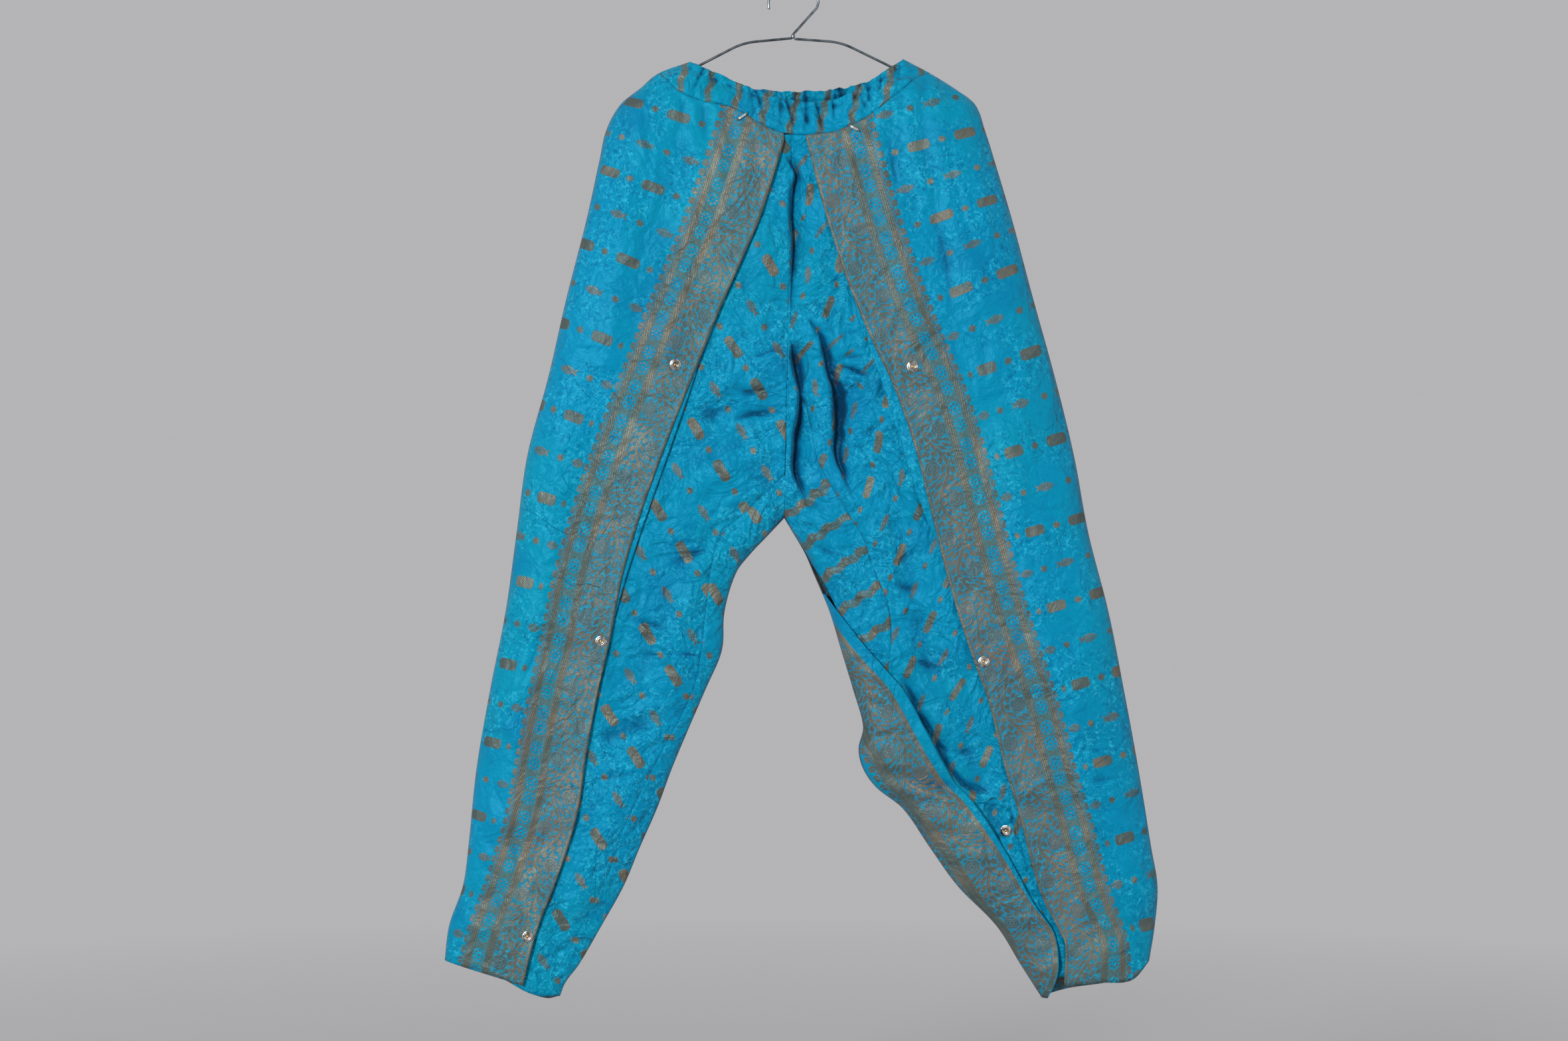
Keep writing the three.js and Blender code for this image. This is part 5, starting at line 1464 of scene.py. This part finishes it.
for name, (panel, x, z, tilt) in beads.items():
    spot = seat(panel, x * mm, z * mm, 5 * mm)
    half, radius, hole = bugle["length"] / 2, bugle["radius"], bugle["hole"]
    rim = [(radius, half - 0.25), (radius - 0.2, half)]
    end = rim + [(hole + 0.3, half), (hole, half - 0.2), (0, half - 0.4)]
    tubeProfile = [(r, -h) for r, h in end[::-1]] + end
    parts = [(0, seated(alongX(turnedShape(tubeProfile, 24)), spot, tilt, radius * mm))]
    for way in (-1, 1):
        middle = way * (half + bugle["small"])
        turn = np.linspace(0, math.pi, 11)
        ball = [(bugle["small"] * math.sin(t), middle - bugle["small"] * 0.8 * math.cos(t)) for t in turn]
        parts.append((1, seated(alongX(turnedShape(ball, 18)), spot, tilt, bugle["small"] * mm)))
        reach = np.linspace(0, 1, 8)
        height = bugle["small"] * (1 - reach ** 1.5) - 0.2 * reach
        path = np.stack([middle + way * reach * 2.4, reach * 0, height], axis=-1)
        parts.append((2, seated(tube(path * mm, np.full(8, 0.2 * mm), 6), spot, tilt)))
    finishTrim("glass_" + name, parts, [silverGlass, greenGlass, blueThread], name)

knots = [(flapRight, -171.5, -554.7, 0.4), (flapRight, -242.2, -885.7, 1.1), (flapLeft, 170.7, -586.6, 2.0),
         (flapLeft, 250.0, -892.6, 0.8)]
parts = []
for panel, x, z, tilt in knots:      # thread ends left where a stud was sewn on or lost
    spot = seat(panel, x * mm, z * mm, 2.5 * mm)
    for turn, reach in ((0, 3.2), (0.9, 2.4), (1.9, 2.8), (2.6, 1.9)):
        t = np.linspace(-1, 1, 11)
        path = np.stack([t * reach, 0.7 * np.sin(t * 2.4 + turn), 0.75 - 0.7 * t * t], axis=-1) * mm
        parts.append((0, seated(tube(path, np.full(11, 0.2 * mm), 6), spot, tilt + turn)))
finishTrim("thread_knots", parts, [blueThread])

wire = dict(
    radius=1.4,
    body=[
        (-2.1, -64.6, 0), (-55, -69.6, 14), (-182, -135, 6), (-168, -145, 5), (174, -145, 5),
        (187.5, -135, 6), (52, -69, 14), (2, -65.4, 0)],
    bow=26, past=12, foot=[(-0.6, -63.6, 1.8), (-0.2, -62, 2.3), (0.3, -59.8, 1.4), (26, -31, 1.4)])


def roundedPath(rows, steps=14):
    # Straight runs whose corners give way to quadratic bends
    rows = [np.array(row, float) for row in rows]
    path = [rows[0][None, :2]]
    for before, here, after in zip(rows[:-2], rows[1:-1], rows[2:]):
        back, on = before[:2] - here[:2], after[:2] - here[:2]
        back, on = back / np.linalg.norm(back), on / np.linalg.norm(on)
        t = np.linspace(0, 1, steps)[:, None]
        path.append(here[:2] + back * here[2] * (1 - t) ** 2 + on * here[2] * t ** 2)
    flat = np.concatenate(path + [rows[-1][None, :2]]) * mm
    return np.stack([flat[:, 0], flat[:, 0] * 0, flat[:, 1]], axis=-1)


bodyPath = roundedPath(wire["body"])
bodyTube = tube(bodyPath, np.full(len(bodyPath), wire["radius"] * mm), 20)
finishTrim("wire_body", [(0, bodyTube)], [wireMetal], "hanger_body")
sweep = np.radians(np.arange(0, 180 + wire["past"] + 1, 4))
around = wire["bow"] + wire["radius"]
bowPath = np.stack([around * np.cos(sweep), sweep * 0, around * np.sin(sweep) - wire["bow"]], axis=-1)
foot = np.array(wire["foot"])
footPath = np.stack([foot[:, 0], foot[:, 0] * 0, foot[:, 1]], axis=-1)
radii = np.concatenate([foot[:, 2], np.full(len(bowPath), wire["radius"])])
hookTube = tube(np.concatenate([footPath, bowPath]) * mm, radii * mm, 20)
finishTrim("wire_hook", [(0, hookTube)], [wireMetal], "hanger_hook")
print("trims and hanger made")


# ---- stage, light and camera ----

studio = dict(
    world=(0.46, 0.455, 0.465), floorHeight=-1.45, floorReach=6.0, floorTone=(0.42, 0.416, 0.424),
    clear=(0.9, 3.4), distance=3.2, middle=(-0.0103, -0.595), field=1.724,
    lamps=[("key", 212, 0.7, (-1.9, -4.2, 0.4), (77.8, 0, -24.3)),    # name, watts, size, place, turn
           ("fill", 18, 2.4, (2.6, -2.2, -0.2), (84, 0, 50)),
           ("behind", 14, 1.8, (0.3, 2.9, 1.3), (58, 0, 174))])
scene = bpy.context.scene
scene.view_settings.view_transform = "Standard"
world = bpy.data.worlds.new("studio")
world.use_nodes = True
world.node_tree.nodes["Background"].inputs["Color"].default_value = (*studio["world"], 1)
scene.world = world
camera = bpy.data.objects.new("camera", bpy.data.cameras.new("camera"))
scene.collection.objects.link(camera)
camera.location = (studio["middle"][0], -studio["distance"], studio["middle"][1])
camera.rotation_euler = (math.pi / 2, 0, 0)
camera.data.sensor_width = 36
camera.data.lens = 36 * studio["distance"] / studio["field"]
scene.camera = camera
for name, power, size, spot, turn in studio["lamps"]:
    lamp = bpy.data.objects.new(name, bpy.data.lights.new(name, "AREA"))
    lamp.data.energy = power
    lamp.data.size = size
    lamp.location = spot
    lamp.rotation_euler = [math.radians(angle) for angle in turn]
    scene.collection.objects.link(lamp)

angle = np.linspace(0, 2 * math.pi, 65)[None, :-1]
reach = np.linspace(0.001, studio["floorReach"], 9)[:, None]
height = studio["floorHeight"] + 0 * reach * angle
points = np.stack([reach * np.cos(angle), reach * np.sin(angle), height], axis=-1)
floorShader = Shader("floorPaint")
awayNode = floorShader.tree.nodes.new("ShaderNodeVectorMath")
awayNode.operation = "LENGTH"
floorShader.tree.links.new(floorShader.where, awayNode.inputs[0])
fade = span(Field(awayNode.outputs["Value"]), *studio["clear"])
speck = floorShader.noise(300, 3.0)
paler = tuple(tone * 1.03 for tone in studio["floorTone"])
floorShader.set(Base_Color=floorShader.mix(speck, studio["floorTone"], paler), Roughness=0.9, Alpha=1 - fade)
floor = newPiece("floor", points, ringFaces(*points.shape[:2])[:, ::-1], [floorShader.material])
